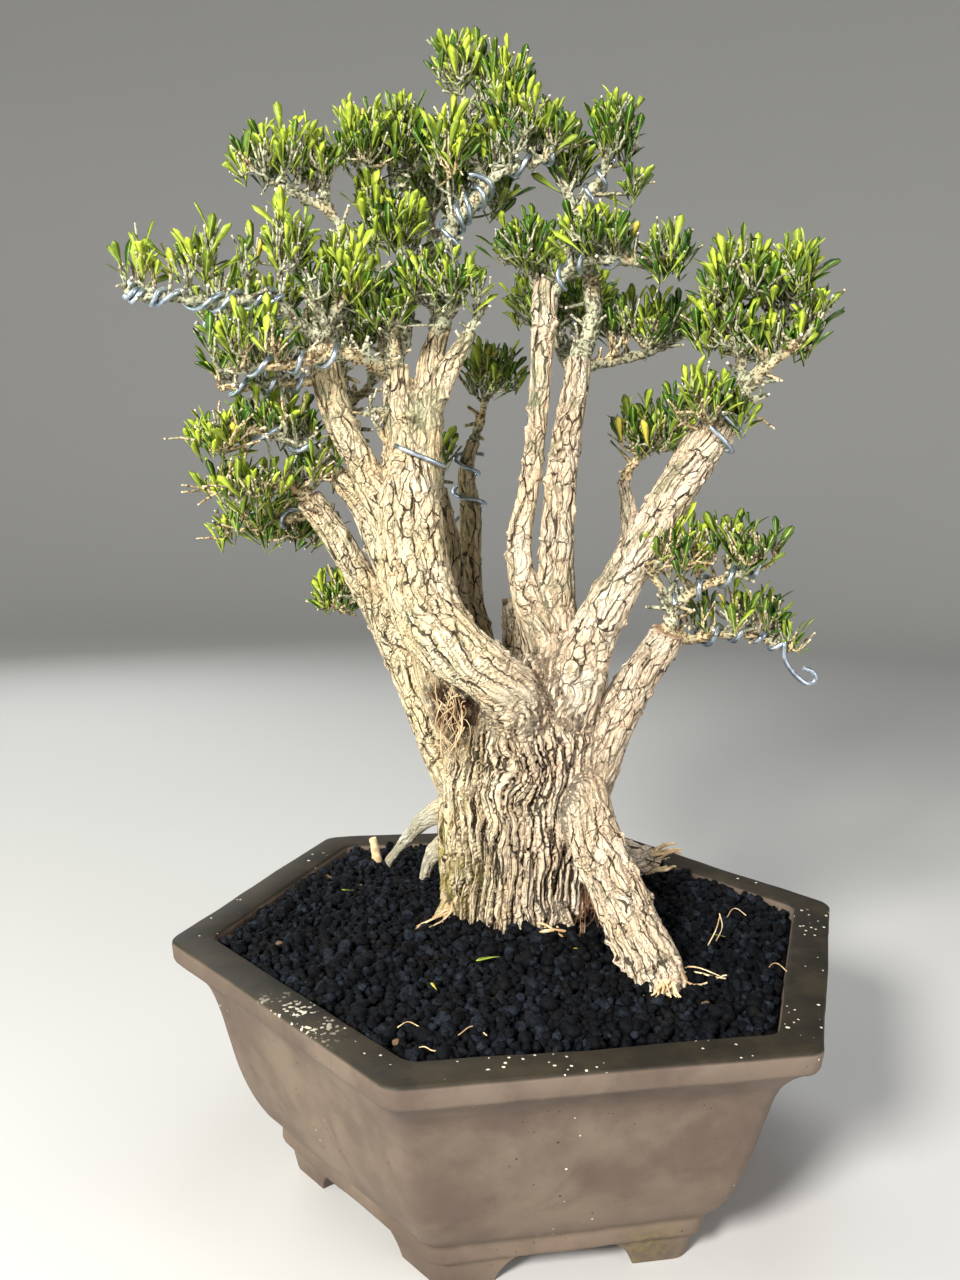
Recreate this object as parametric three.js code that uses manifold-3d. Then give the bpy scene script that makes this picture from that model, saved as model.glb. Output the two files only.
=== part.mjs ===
// Boxwood bonsai in an unglazed hexagonal pot, with its soil and its training wires.
//
// The tree grew from one old stump: a short corky trunk with a prop root, and limbs that were
// cut back and now carry small clipped sprays of leaves. Trunk, limbs and roots are one solid.
// Each leafy spray is a solid of its own: its twigs, and on them small fans of narrow leaves.
// The wires are aluminium, wound round the branches that they train.
//
// Millimetres, +Z up, the tree's front towards -Y. Every shape is drawn round the pot's axis,
// with z = 0 at the top of the rim. At the end the whole is moved so that the origin lies on the
// surface the pot stands on, at the middle of the object's box.

import * as THREE from 'three';
import { mergeVertices } from 'three/addons/utils/BufferGeometryUtils.js';
import Module from 'manifold-3d';

// Driving dimensions

const POT_HEIGHT = 128;
const RIM_RADIUS = 180;
const RIM_WIDTH = 22.5;
const WALL = 11;
const POT_TURN = THREE.MathUtils.degToRad(14.7);
const CORNER_BLUNTING = 4.5;
const FOOT_HEIGHT = 14;
const FOOT_RADIUS = 120;
const FOOT_DRAFT = 3;
const FOOT_WIDTH = 16;
const FOOT_LEG = 40;
const FOOT_UNDERCUT = 13;
const DRAIN_DIAMETER = 40;
const SOIL_DROP = 5;
const SOIL_MOUND = 9;
const GRANULE_RELIEF = 3.8;
const GRANULE_PITCH = 15;
const TRUNK_DEPTH_RATIO = 0.88;
const LEAF_LENGTH = 16;
const LEAF_WIDTH = 4.2;
const LEAF_THICKNESS = 0.9;
const TWIG_RADIUS = 1;
const WIRE_RADIUS = 1.1;
const GAP = 0.3;
const SPRIG_AREA = 1540;

// The outside of the pot from the rim down: distance of a corner from the axis, and height.
const POT_OUTSIDE = [
  [RIM_RADIUS - 1.5, 0], [RIM_RADIUS, -1.5], [178, -10.5], [168, -18.5], [161, -27], [155, -44],
  [148.5, -67], [141, -85], [134, -96], [126.5, -103], [125.5, -105], [125.5, -111],
  [122, -POT_HEIGHT + FOOT_HEIGHT],
];

const wasm = await Module();
wasm.setup();

// Seeded random numbers, so that every build is the same
function seededRandom(seed) {
  let state = seed;
  return () => {
    state = (state + 0x6d2b79f5) | 0;
    let mixed = Math.imul(state ^ (state >>> 15), 1 | state);
    mixed = (mixed + Math.imul(mixed ^ (mixed >>> 7), 61 | mixed)) ^ mixed;
    return ((mixed ^ (mixed >>> 14)) >>> 0) / 4294967296;
  };
}

// A closed geometry as a solid: its shared vertices merged, its flattened triangles dropped
function solidOf(geometry) {
  const bare = geometry.clone();
  bare.deleteAttribute('normal');
  bare.deleteAttribute('uv');
  const merged = mergeVertices(bare, 1e-4);
  const corners = [];
  for (let i = 0; i < merged.index.count; i += 3) {
    const [a, b, c] = [merged.index.getX(i), merged.index.getX(i + 1), merged.index.getX(i + 2)];
    if (a !== b && b !== c && c !== a) corners.push(a, b, c);
  }
  return new wasm.Manifold(new wasm.Mesh({
    numProp: 3,
    vertProperties: new Float32Array(merged.attributes.position.array),
    triVerts: new Uint32Array(corners),
  }));
}

function geometryOf(solid) {
  const mesh = solid.getMesh();
  const geometry = new THREE.BufferGeometry();
  geometry.setAttribute('position', new THREE.BufferAttribute(mesh.vertProperties, mesh.numProp));
  geometry.setIndex(new THREE.BufferAttribute(mesh.triVerts, 1));
  geometry.computeVertexNormals();
  return geometry;
}

// The main body of a solid that was cut, without the splinters of the cut: a scrap that it left
// loose is dropped, and edges shorter than the tolerance are closed up
function mainBody(solid, tolerance = 0.12) {
  const bodies = solid.decompose();
  return bodies.reduce((best, body) => (body.volume() > best.volume() ? body : best))
    .simplify(tolerance);
}

const union = (solids) => wasm.Manifold.union(solids);

// Pot: stoneware, one piece with its base band, six bracket feet and a drain hole

// A point of a hexagon whose corners are blunted: step counts two points to a corner,
// one on either side of it.
function hexagonPoint(cornerRadius, step, blunting) {
  const corner = Math.floor(step / 2);
  const side = step % 2 === 0 ? -1 : 1;
  const angle = POT_TURN + (corner * Math.PI) / 3;
  const along = angle + side * ((2 * Math.PI) / 3);
  const edge = new THREE.Vector2(Math.cos(along), Math.sin(along));
  const point = new THREE.Vector2(Math.cos(angle), Math.sin(angle));
  return point.multiplyScalar(cornerRadius).addScaledVector(edge, blunting);
}

// A hexagonal body turned from a profile of [corner distance, height]
function hexagonBody(profile, blunting = CORNER_BLUNTING) {
  const steps = 12;
  const points = profile.map(([radius, height]) => new THREE.Vector2(radius, height));
  const lathe = new THREE.LatheGeometry(points, steps);
  const place = lathe.attributes.position;
  for (let i = 0; i < place.count; i++) {
    const radius = Math.hypot(place.getX(i), place.getZ(i));
    const height = place.getY(i);
    const step = Math.round((Math.atan2(place.getX(i), place.getZ(i)) / (2 * Math.PI)) * steps);
    const spot = radius > 0 ? hexagonPoint(radius, (step + steps) % steps, blunting)
      : new THREE.Vector2();
    place.setXYZ(i, spot.x, spot.y, height);
  }
  return solidOf(lathe);
}

function potProfile() {
  const floor = -POT_HEIGHT + FOOT_HEIGHT + WALL;
  const inside = [
    [116, floor], [130, -80], [147, -32],
    [RIM_RADIUS - RIM_WIDTH, -10], [RIM_RADIUS - RIM_WIDTH, -1], [RIM_RADIUS - RIM_WIDTH + 1, 0],
  ];
  return { outside: POT_OUTSIDE, inside, floor };
}

function footBand() {
  const [top, bottom] = [-POT_HEIGHT + FOOT_HEIGHT + 1, -POT_HEIGHT];
  const [outerTop, outerBottom] = [FOOT_RADIUS, FOOT_RADIUS - FOOT_DRAFT];
  const [innerTop, innerBottom] = [FOOT_RADIUS - FOOT_WIDTH - 1, FOOT_RADIUS - FOOT_WIDTH];
  return hexagonBody([[innerTop, top], [innerBottom, bottom], [outerBottom, bottom],
    [outerTop, top], [innerTop, top]], FOOT_DRAFT);
}

// The opening between two feet, across one side of the hexagon
function footGap(sideIndex) {
  const topHalf = FOOT_RADIUS / 2 - FOOT_LEG;
  const bottomHalf = topHalf + FOOT_UNDERCUT;
  const below = -FOOT_HEIGHT - 2;
  const outline = new THREE.Shape();
  outline.moveTo(-bottomHalf, below);
  outline.lineTo(bottomHalf, below);
  outline.quadraticCurveTo(bottomHalf - 2, -4, topHalf, 0);
  outline.lineTo(-topHalf, 0);
  outline.quadraticCurveTo(-bottomHalf + 2, -4, -bottomHalf, below);
  const depth = FOOT_RADIUS / 2;
  const cutter = new THREE.ExtrudeGeometry(outline, { depth, bevelEnabled: false, curveSegments: 2 });
  cutter.rotateX(Math.PI / 2);
  cutter.rotateZ(Math.PI / 2);
  cutter.translate(FOOT_RADIUS - FOOT_LEG, 0, -POT_HEIGHT + FOOT_HEIGHT);
  cutter.rotateZ(POT_TURN + ((sideIndex + 0.5) * Math.PI) / 3);
  return solidOf(cutter);
}

function potSolid() {
  const { outside, inside, floor } = potProfile();
  const base = outside[outside.length - 1][1];
  const shell = hexagonBody([[0, floor], ...inside, ...outside, [0, base]].reverse());
  const gaps = [0, 1, 2, 3, 4, 5].map(footGap);
  const feet = footBand().subtract(union(gaps));
  const drill = new THREE.CylinderGeometry(DRAIN_DIAMETER / 2, DRAIN_DIAMETER / 2, WALL * 4, 16);
  drill.rotateX(Math.PI / 2);
  drill.translate(0, 0, base);
  return mainBody(shell.add(feet).subtract(solidOf(drill)));
}

// Screen: a square of plastic mesh over the drain hole, under the soil
const SCREEN_SIZE = 56;
const SCREEN_THICKNESS = 1.4;
const SCREEN_OPENING = 9;
const SCREEN_BAR = 4;

function screenSolid() {
  const plate = solidOf(new THREE.BoxGeometry(SCREEN_SIZE, SCREEN_SIZE, SCREEN_THICKNESS));
  const pitch = SCREEN_OPENING + SCREEN_BAR;
  const openings = [];
  for (const column of [-1, 0, 1]) {
    for (const row of [-1, 0, 1]) {
      const opening = new THREE.BoxGeometry(SCREEN_OPENING, SCREEN_OPENING, SCREEN_THICKNESS * 3);
      opening.translate(column * pitch, row * pitch, 0);
      openings.push(solidOf(opening));
    }
  }
  const height = potProfile().floor + GAP + SCREEN_THICKNESS / 2;
  return plate.subtract(union(openings)).rotate([0, 0, THREE.MathUtils.radToDeg(POT_TURN)])
    .translate([0, 0, height]);
}

// Stems: a stem is a list of stations [x, y, z, radius], and everything round is built on one

class Stem {
  constructor(stations, depthRatio = 1) {
    this.stations = stations;
    this.depthRatio = depthRatio;
    this.curve = new THREE.CatmullRomCurve3(
      stations.map(([x, y, z]) => new THREE.Vector3(x, y, z)), false, 'centripetal');
    const [first, last] = [this.curve.points[0], this.curve.points[stations.length - 1]];
    const steep = Math.abs(last.clone().sub(first).normalize().z) > 0.7;
    this.reference = steep ? new THREE.Vector3(0, 1, 0) : new THREE.Vector3(0, 0, 1);
  }

  // Centre, radius and the directions across and along the stem, at t from 0 to 1
  at(t) {
    const place = t * (this.stations.length - 1);
    const index = Math.min(Math.floor(place), this.stations.length - 2);
    const radius = THREE.MathUtils.lerp(
      this.stations[index][3], this.stations[index + 1][3], place - index);
    const ahead = this.curve.getTangent(t);
    const side = ahead.clone().cross(this.reference).normalize();
    const up = side.clone().cross(ahead);
    return { centre: this.curve.getPoint(t), radius, ahead, side, up };
  }
}

// A tapered tube along a stem, its bark in ridges that run along it. Extra grows it all round.
function stemSolid(stem, { sides, rows, ridge = 0, extra = 0, seed = 1 }) {
  const tube = new THREE.CylinderGeometry(1, 1, 1, sides, rows);
  const random = seededRandom(seed);
  const rough = Array.from({ length: (rows + 1) * sides }, () => random() - 0.5);
  const place = tube.attributes.position;
  for (let i = 0; i < place.count; i++) {
    const [x, y, z] = [place.getX(i), place.getY(i), place.getZ(i)];
    const t = y + 0.5;
    const row = Math.round(t * rows);
    const step = (Math.round((Math.atan2(x, z) / (2 * Math.PI)) * sides) + sides) % sides;
    const { centre, radius, ahead, side, up } = stem.at(t);
    const onRing = Math.hypot(x, z) > 0.5;
    const relief = 1 + ridge * ((step % 2 ? 1 : -1) + 1.2 * rough[row * sides + step]);
    const reach = onRing ? radius * relief + extra : 0;
    const end = (row === rows ? extra : 0) - (row === 0 ? extra : 0);
    const spot = centre.addScaledVector(side, x * reach)
      .addScaledVector(up, z * reach * stem.depthRatio)
      .addScaledVector(ahead, end);
    place.setXYZ(i, spot.x, spot.y, spot.z);
  }
  return solidOf(tube);
}

// Trunk, limbs and roots: one living piece, in the order in which they leave the stump
const LIMBS = {
  column: [[-3, 10, -26, 37], [-3, 10, -6, 40], [-3, 10, 19, 40], [-3, 9, 46, 41.5], [-3, 8, 66, 41],
    [-3, 6, 86, 42], [-3, 4, 104, 41], [-4, 2, 119, 33], [-2, 0, 131, 20]],
  propRoot: [[12, 0, 88, 16], [27, -10, 74, 15], [34, -20, 57, 13.8], [45, -34, 36, 13.3],
    [55, -50, 17, 13.8], [63, -64, 4, 14.4], [67, -73, -6, 12.5], [69, -78, -18, 9]],
  leftBackRoot: [[-26, 30, 52, 14], [-42, 40, 47, 10.5], [-56, 48, 37, 7.5], [-69, 60, 19, 4],
    [-79, 72, 1, 2.2], [-82, 76, -12, 1.8]],
  leftBackSpur: [[-30, 26, 36, 10], [-48, 40, 24, 7], [-57, 50, 8, 4.6], [-59, 54, -10, 3.6]],
  brokenRoot: [[22, 24, 40, 12], [46, 44, 27, 9.5], [64, 60, 17, 8.5], [76, 70, 11, 7.5]],
  frontLeftRoot: [[-30, 0, 18, 7], [-40, -8, 7, 3.6], [-46, -13, -1, 2.5], [-51, -17, -10, 2]],
  frontRightRoot: [[17, -14, 16, 6], [26, -22, 5, 2.6], [31, -27, -9, 1.8]],
  limbA: [[16, -4, 90, 20], [8, -15, 106, 20], [-9, -27, 126, 17.5], [-29, -32, 141, 16.3],
    [-47, -27, 159, 17.2], [-57, -22, 183, 17.2], [-61, -20, 210, 16.7], [-61, -18, 236, 15],
    [-61, -18, 252, 12]],
  limbALeft: [[-60, -18, 230, 10], [-64, -17, 250, 8], [-67, -16, 268, 7.3], [-70, -14, 284, 6.5]],
  limbARight: [[-58, -17, 232, 10], [-55, -14, 254, 8.5], [-54, -11, 270, 8], [-53, -8, 288, 6.4],
    [-49, -6, 303, 5]],
  limbB: [[-26, 8, 58, 14], [-42, 8, 88, 13.2], [-57, 6, 121, 11.5], [-68, 4, 144, 9.9],
    [-84, 0, 173, 8.2], [-95, -6, 193, 7.3], [-112, -14, 219, 6.6]],
  limbC: [[-38, 0, 126, 12], [-53, -6, 149, 10.2], [-67, -8, 174, 8.1], [-78, -10, 199, 7.1],
    [-85, -14, 216, 6.6], [-96, -18, 231, 6]],
  limbD: [[-50, -12, 150, 12], [-61, -12, 174, 11], [-72, -16, 207, 8.6], [-83, -20, 233, 7.5],
    [-94, -24, 254, 7.4], [-100, -28, 273, 7.6], [-103, -30, 291, 7.1]],
  limbE: [[-18, 26, 98, 13], [-27, 40, 142, 8], [-33, 46, 165, 6.8], [-35, 48, 192, 6.6],
    [-35, 48, 214, 6], [-38, 46, 236, 4.4], [-34, 44, 252, 3.6]],
  stubE: [[-32, 20, 122, 11], [-41, 28, 161, 8.1], [-44, 30, 188, 7], [-48, 32, 209, 5.9],
    [-51, 34, 226, 4]],
  neck: [[6, 2, 98, 24], [12, -2, 126, 18], [14, -2, 147, 15.5], [13, -2, 156, 11]],
  limbF: [[11, -4, 136, 11], [3, -6, 158, 8.6], [-2, -6, 172, 7.8], [-6, -6, 187, 6.5],
    [-7, -5, 203, 6], [-3, -3, 226, 5], [0, 0, 261, 5], [1, 2, 290, 5.5], [2, 4, 319, 6.4],
    [2, 4, 330, 5.9]],
  limbG: [[16, 0, 138, 12], [13, -2, 171, 9.7], [12, -2, 201, 8.6], [13, 0, 231, 7.8],
    [16, 2, 261, 7], [19, 4, 281, 6.5], [20, 5, 292, 5.6]],
  limbH: [[10, -4, 90, 18], [19, -8, 115, 15.5], [30, -16, 153, 12.4], [43, -22, 181, 10.4],
    [56, -26, 208, 9.8], [69, -30, 232, 9.8], [79, -32, 249, 9.9], [89, -34, 263, 8.4],
    [94, -36, 272, 5.6]],
  limbI: [[14, 4, 50, 20], [29, 0, 74, 16], [43, -4, 108, 12], [55, -10, 133, 9.8],
    [65, -16, 151, 9], [68, -18, 159, 8.4]],
  limbJ: [[18, 24, 82, 14], [34, 36, 113, 8.4], [37, 40, 140, 7.2], [42, 46, 170, 6.2],
    [52, 52, 198, 5.2], [51, 54, 220, 4.2], [48, 54, 233, 3.4]],
  stubK: [[-2, 26, 104, 11], [-8, 44, 132, 7], [-10, 50, 154, 5.8], [-11, 52, 166, 5.6]],
};

const LIMB_STEMS = Object.fromEntries(Object.entries(LIMBS).map(([name, stations]) => [
  name, new Stem(stations, name === 'column' ? TRUNK_DEPTH_RATIO : 1)]));

// Sides by thickness, always even, so that ridge and groove alternate round the stem
function barkOptions(name, stations) {
  const thickest = Math.max(...stations.map((station) => station[3]));
  const sides = name === 'column' ? 26 : thickest > 16 ? 10 : thickest > 12 ? 8 : 6;
  const rows = name === 'column' ? 12 : stations.length - 1;
  return { sides, rows, ridge: name === 'column' ? 0.035 : 0.05, seed: stations.length };
}

function limbSolids(extra) {
  return Object.entries(LIMBS).map(([name, stations]) => stemSolid(
    LIMB_STEMS[name], { ...barkOptions(name, stations), extra }));
}

// Soil: volcanic granules, as one body that fills the pot, its top in rough relief

function soilHeight(x, y, random) {
  const edge = Math.min(1, Math.hypot(x, y) / (RIM_RADIUS - RIM_WIDTH));
  return SOIL_MOUND * (1 - edge * edge) - SOIL_DROP + GRANULE_RELIEF * (random() - 0.5);
}

// What lies over the soil: a hexagon of triangles whose underside is the granules' relief
function airOverSoil() {
  const random = seededRandom(11);
  const rings = Math.round(RIM_RADIUS / GRANULE_PITCH);
  const points = [];
  const index = new Map();
  const corner = (k) => new THREE.Vector2(
    Math.cos(POT_TURN + (k * Math.PI) / 3), Math.sin(POT_TURN + (k * Math.PI) / 3));
  const [east, northEast] = [corner(0), corner(1)];
  for (let q = -rings; q <= rings; q++) {
    for (let r = Math.max(-rings, -q - rings); r <= Math.min(rings, -q + rings); r++) {
      const spot = east.clone().multiplyScalar(q * GRANULE_PITCH)
        .addScaledVector(northEast, r * GRANULE_PITCH);
      const inside = Math.max(Math.abs(q), Math.abs(r), Math.abs(q + r)) < rings;
      const shift = inside ? GRANULE_PITCH * 0.3 : 0;
      const [x, y] = [spot.x + shift * (random() - 0.5), spot.y + shift * (random() - 0.5)];
      index.set(`${q},${r}`, points.length);
      points.push(new THREE.Vector3(x, y, soilHeight(x, y, random)));
    }
  }
  const triangles = [];
  const at = (q, r) => index.get(`${q},${r}`);
  for (let q = -rings; q <= rings; q++) {
    for (let r = -rings; r <= rings; r++) {
      const [here, right, above, back] = [at(q, r), at(q + 1, r), at(q, r + 1), at(q + 1, r - 1)];
      if (here === undefined || right === undefined) continue;
      if (above !== undefined) triangles.push([here, above, right]);
      if (back !== undefined) triangles.push([here, right, back]);
    }
  }
  // The outline of the sheet, in order round it, closed by a lid high above
  const steps = [[-1, 1], [-1, 0], [0, -1], [1, -1], [1, 0], [0, 1]];
  const outline = [];
  let [q, r] = [rings, 0];
  for (const [dq, dr] of steps) {
    for (let k = 0; k < rings; k++) {
      outline.push(at(q, r));
      q += dq;
      r += dr;
    }
  }
  const lid = points.length;
  points.push(new THREE.Vector3(0, 0, 60));
  outline.forEach((from, k) => triangles.push([from, outline[(k + 1) % outline.length], lid]));
  const geometry = new THREE.BufferGeometry();
  geometry.setFromPoints(points);
  geometry.setIndex(triangles.flat());
  return solidOf(geometry);
}

function soilSolid(cutters) {
  const { inside, floor } = potProfile();
  const wall = inside.map(([radius, height]) => [radius - GAP * 1.3, Math.max(height, floor + GAP)]);
  const body = hexagonBody([[0, floor + GAP], ...wall, [0, 0]]);
  return mainBody(body.subtract(airOverSoil()).subtract(union(cutters)), 0.3);
}

// A dead stub of root that stands in the soil behind the tree
const DEAD_STUB = [[-87, 84, -12, 3], [-88, 82, 2, 3], [-91, 81, 15, 2.2]];

// Leafy sprays: for each, its branches as stems, and its pads of foliage as
// [x, y, z, half width, half depth, half height]
const SPRAYS = {
  spray_far_left: {
    stems: [[[-103, -32, 294, 3.2], [-113, -40, 300, 2.8], [-123, -46, 309, 2.6],
      [-145, -52, 306, 2.3], [-171, -58, 307, 1.9], [-184, -60, 307, 1.6], [-192, -60, 312, 1.3]]],
    pads: [[-187, -60, 321, 10, 9, 14], [-154, -54, 327, 22, 12, 15], [-117, -46, 333, 20, 14, 22]],
  },
  spray_left_second: {
    stems: [[[-103, -26, 296, 2.6], [-117, -12, 302, 2.2], [-149, 0, 304, 1.8], [-166, 6, 305, 1.5],
      [-176, 8, 301, 1.3]]],
    pads: [[-146, 2, 318, 28, 18, 12]],
  },
  spray_left_third: {
    stems: [[[-72, -17, 279, 3.3], [-81, -32, 284, 3.2], [-92, -44, 285, 3], [-103, -51, 282, 2.6],
      [-113, -53, 279, 2.3], [-129, -56, 277, 1.9], [-143, -58, 275, 1.4]]],
    pads: [[-124, -60, 289, 26, 12, 12]],
  },
  spray_left_fourth: {
    stems: [[[-101, -29, 275, 2.6], [-112, -33, 273, 2.3], [-129, -36, 271, 1.9],
      [-149, -40, 269, 1.4]]],
    pads: [[-136, -30, 283, 24, 14, 9]],
  },
  spray_left_lower: {
    stems: [
      [[-96, -18, 231, 3.2], [-103, -26, 240, 2.8], [-117, -34, 246, 2.4], [-135, -40, 250, 1.9],
        [-155, -44, 246, 1.3]],
      [[-103, -26, 240, 2.2], [-112, -22, 252, 1.8], [-122, -18, 258, 1.3]],
    ],
    pads: [[-151, -42, 250, 17, 16, 12], [-120, -34, 256, 22, 20, 14]],
  },
  spray_left_cut_end: {
    stems: [[[-112, -14, 219, 3.2], [-122, -22, 224, 2.6], [-137, -30, 226, 1.9],
      [-149, -34, 226, 1.3]]],
    pads: [[-137, -26, 226, 22, 18, 10]],
  },
  spray_left_hanging: {
    stems: [[[-108, -10, 212, 2.8], [-126, 8, 208, 2.4], [-144, 20, 206, 1.8], [-161, 28, 208, 1.3]]],
    pads: [[-136, 22, 204, 33, 22, 15]],
  },
  spray_left_inner: {
    stems: [[[-80, 4, 167, 2.8], [-96, 22, 166, 2.2], [-106, 34, 159, 1.4]]],
    pads: [[-106, 32, 166, 13, 13, 14]],
  },
  spray_d_top: {
    stems: [
      [[-103, -30, 291, 3.4], [-98, -32, 303, 2.4], [-90, -34, 316, 1.5]],
      [[-100, -31, 298, 2.4], [-104, -40, 308, 1.8], [-106, -44, 318, 1.3]],
    ],
    pads: [[-92, -36, 317, 19, 15, 18]],
  },
  spray_a_left: {
    stems: [[[-70, -14, 284, 3.6], [-71, -20, 298, 2.6], [-74, -25, 312, 1.6]]],
    pads: [[-74, -28, 308, 14, 13, 13]],
  },
  spray_a_front: {
    stems: [[[-50, -7, 300, 4], [-44, -18, 310, 2.8], [-39, -25, 319, 1.6]],
      [[-46, -14, 306, 2.6], [-52, -22, 314, 2], [-57, -27, 320, 1.4]]],
    pads: [[-47, -27, 321, 21, 14, 14]],
  },
  spray_crown_left: {
    stems: [
      [[-71, -13, 282, 4.2], [-66, -4, 307, 3.8], [-68, 0, 332, 3.6], [-72, 4, 356, 2.9],
        [-76, 6, 381, 2], [-78, 6, 396, 1.3]],
      [[-72, 4, 356, 2.4], [-85, -6, 373, 1.8], [-92, -10, 388, 1.3]],
    ],
    pads: [[-90, -6, 388, 11, 16, 20], [-71, 8, 391, 11, 18, 22], [-72, 0, 352, 17, 20, 14]],
  },
  spray_upper_left: {
    stems: [
      [[-101, -28, 291, 3.2], [-94, -16, 310, 2.9], [-94, -12, 329, 2.7], [-95, -14, 343, 2.5],
        [-102, -18, 354, 2.3], [-116, -22, 361, 1.9], [-129, -26, 366, 1.4]],
      [[-102, -18, 354, 2], [-105, -18, 371, 1.7], [-108, -18, 384, 1.2]],
    ],
    pads: [[-123, -20, 378, 25, 17, 15]],
  },
  spray_apex: {
    stems: [
      [[-49, -6, 303, 4.8], [-48, -4, 322, 4.6], [-47, -4, 339, 4.4], [-44, -4, 353, 4],
        [-36, -4, 362, 3.6], [-30, -4, 370, 3.2], [-36, -4, 386, 2.4], [-39, -4, 405, 1.9],
        [-45, -4, 427, 1.2]],
      [[-30, -4, 370, 2.8], [-21, -4, 378, 2.4], [-1, -4, 384, 1.9], [8, -4, 391, 1.3]],
      [[-39, -4, 405, 1.8], [-28, -4, 416, 1.5], [-19, -4, 425, 1.2]],
    ],
    pads: [[-34, -4, 422, 22, 15, 16], [-8, -4, 398, 21, 16, 15], [-46, -12, 384, 9, 13, 16]],
  },
  spray_crown_back: {
    stems: [
      [[-51, -2, 298, 3.8], [-54, 22, 321, 3.4], [-59, 36, 354, 2.6], [-59, 40, 385, 1.8],
        [-56, 42, 404, 1.2]],
      [[-59, 36, 354, 2.2], [-39, 40, 374, 1.7], [-24, 42, 392, 1.2]],
    ],
    pads: [[-46, 48, 381, 30, 24, 32]],
  },
  spray_right_top: {
    stems: [
      [[20, 5, 290, 5], [26, 8, 311, 4.6], [24, 8, 330, 4.2], [18, 6, 349, 4], [17, 6, 360, 3.6],
        [22, 5, 370, 2.8], [27, 4, 377, 2.3], [30, 4, 392, 1.8], [34, 4, 405, 1.2]],
      [[17, 6, 358, 2.6], [10, 8, 374, 2], [5, 9, 388, 1.3]],
    ],
    pads: [[36, 4, 396, 13, 14, 20], [12, 12, 386, 9, 13, 16]],
  },
  spray_middle: {
    stems: [
      [[2, 3, 330, 4], [8, -8, 335, 2.9], [22, -14, 338, 2.5], [46, -18, 334, 2], [69, -20, 340, 1.3]],
      [[1, 3, 330, 3], [-7, 1, 337, 1.8], [-19, 2, 338, 1.2]],
    ],
    pads: [[-9, -2, 344, 15, 16, 14], [25, -18, 347, 20, 15, 11], [57, -20, 343, 15, 13, 12]],
  },
  spray_middle_right: {
    stems: [[[24, 6, 288, 3], [41, 16, 293, 2.5], [58, 20, 298, 1.9], [76, 22, 308, 1.3]]],
    pads: [[55, 20, 312, 25, 18, 12]],
  },
  spray_right_big: {
    stems: [
      [[94, -36, 272, 3.6], [101, -40, 282, 3], [113, -44, 292, 2.5], [122, -46, 300, 1.9],
        [134, -46, 312, 1.2]],
      [[94, -36, 274, 3], [92, -35, 290, 2.4], [86, -35, 303, 1.8], [78, -35, 314, 1.2]],
      [[92, -35, 290, 2.2], [105, -34, 302, 1.8], [116, -30, 310, 1.2]],
    ],
    pads: [[90, -36, 325, 17, 22, 14], [116, -38, 325, 15, 22, 14], [131, -46, 312, 10, 13, 11],
      [82, -34, 302, 14, 18, 14]],
  },
  spray_h_front: {
    stems: [[[81, -34, 253, 3.2], [77, -46, 262, 2.2], [71, -50, 271, 1.3]]],
    pads: [[75, -48, 268, 15, 12, 12]],
  },
  spray_h_tip: {
    stems: [[[92, -35, 268, 3.2], [98, -43, 269, 1.8], [103, -47, 271, 1.2]]],
    pads: [[101, -46, 269, 7, 8, 6]],
  },
  spray_right_back: {
    stems: [[[48, 54, 232, 3], [54, 55, 243, 2.3], [63, 54, 251, 1.8], [72, 52, 260, 1.2]]],
    pads: [[60, 54, 261, 24, 18, 18]],
  },
  spray_right_shelf: {
    stems: [
      [[68, -18, 157, 4], [70, -20, 170, 3], [81, -24, 181, 2.4], [98, -26, 188, 1.9],
        [113, -26, 193, 1.3]],
      [[70, -20, 170, 2.4], [62, -28, 182, 1.9], [54, -34, 192, 1.3]],
    ],
    pads: [[66, -32, 200, 16, 14, 15], [98, -28, 203, 20, 18, 13]],
  },
  spray_right_low: {
    stems: [[[68, -18, 157, 4], [79, -14, 156, 2.8], [94, -12, 160, 2.3], [110, -12, 165, 1.9],
      [121, -12, 168, 1.6], [131, -12, 162, 1.2]]],
    pads: [[108, -10, 174, 27, 19, 11]],
  },
  spray_back_centre: {
    stems: [[[-34, 44, 252, 2.6], [-30, 43, 266, 2], [-26, 42, 282, 1.3]]],
    pads: [[-26, 42, 284, 15, 15, 18]],
  },
  spray_stub_shoot: {
    stems: [[[-51, 34, 226, 2], [-50, 36, 236, 1.4], [-50, 38, 246, 1.1]]],
    pads: [[-50, 38, 248, 6, 6, 6]],
  },
  spray_back_upper: {
    stems: [[[17, 4, 284, 3.4], [10, 40, 304, 2.6], [8, 66, 330, 1.5]],
      [[12, 30, 298, 2.2], [24, 50, 310, 1.8], [32, 66, 322, 1.2]]],
    pads: [[12, 66, 327, 30, 22, 28]],
  },
  spray_back_left: {
    stems: [[[-88, -18, 246, 3], [-99, 10, 276, 2.4], [-106, 40, 302, 1.4]],
      [[-95, 0, 266, 2.2], [-84, 24, 282, 1.8], [-80, 42, 298, 1.2]]],
    pads: [[-102, 44, 308, 27, 24, 26]],
  },
};

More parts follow.
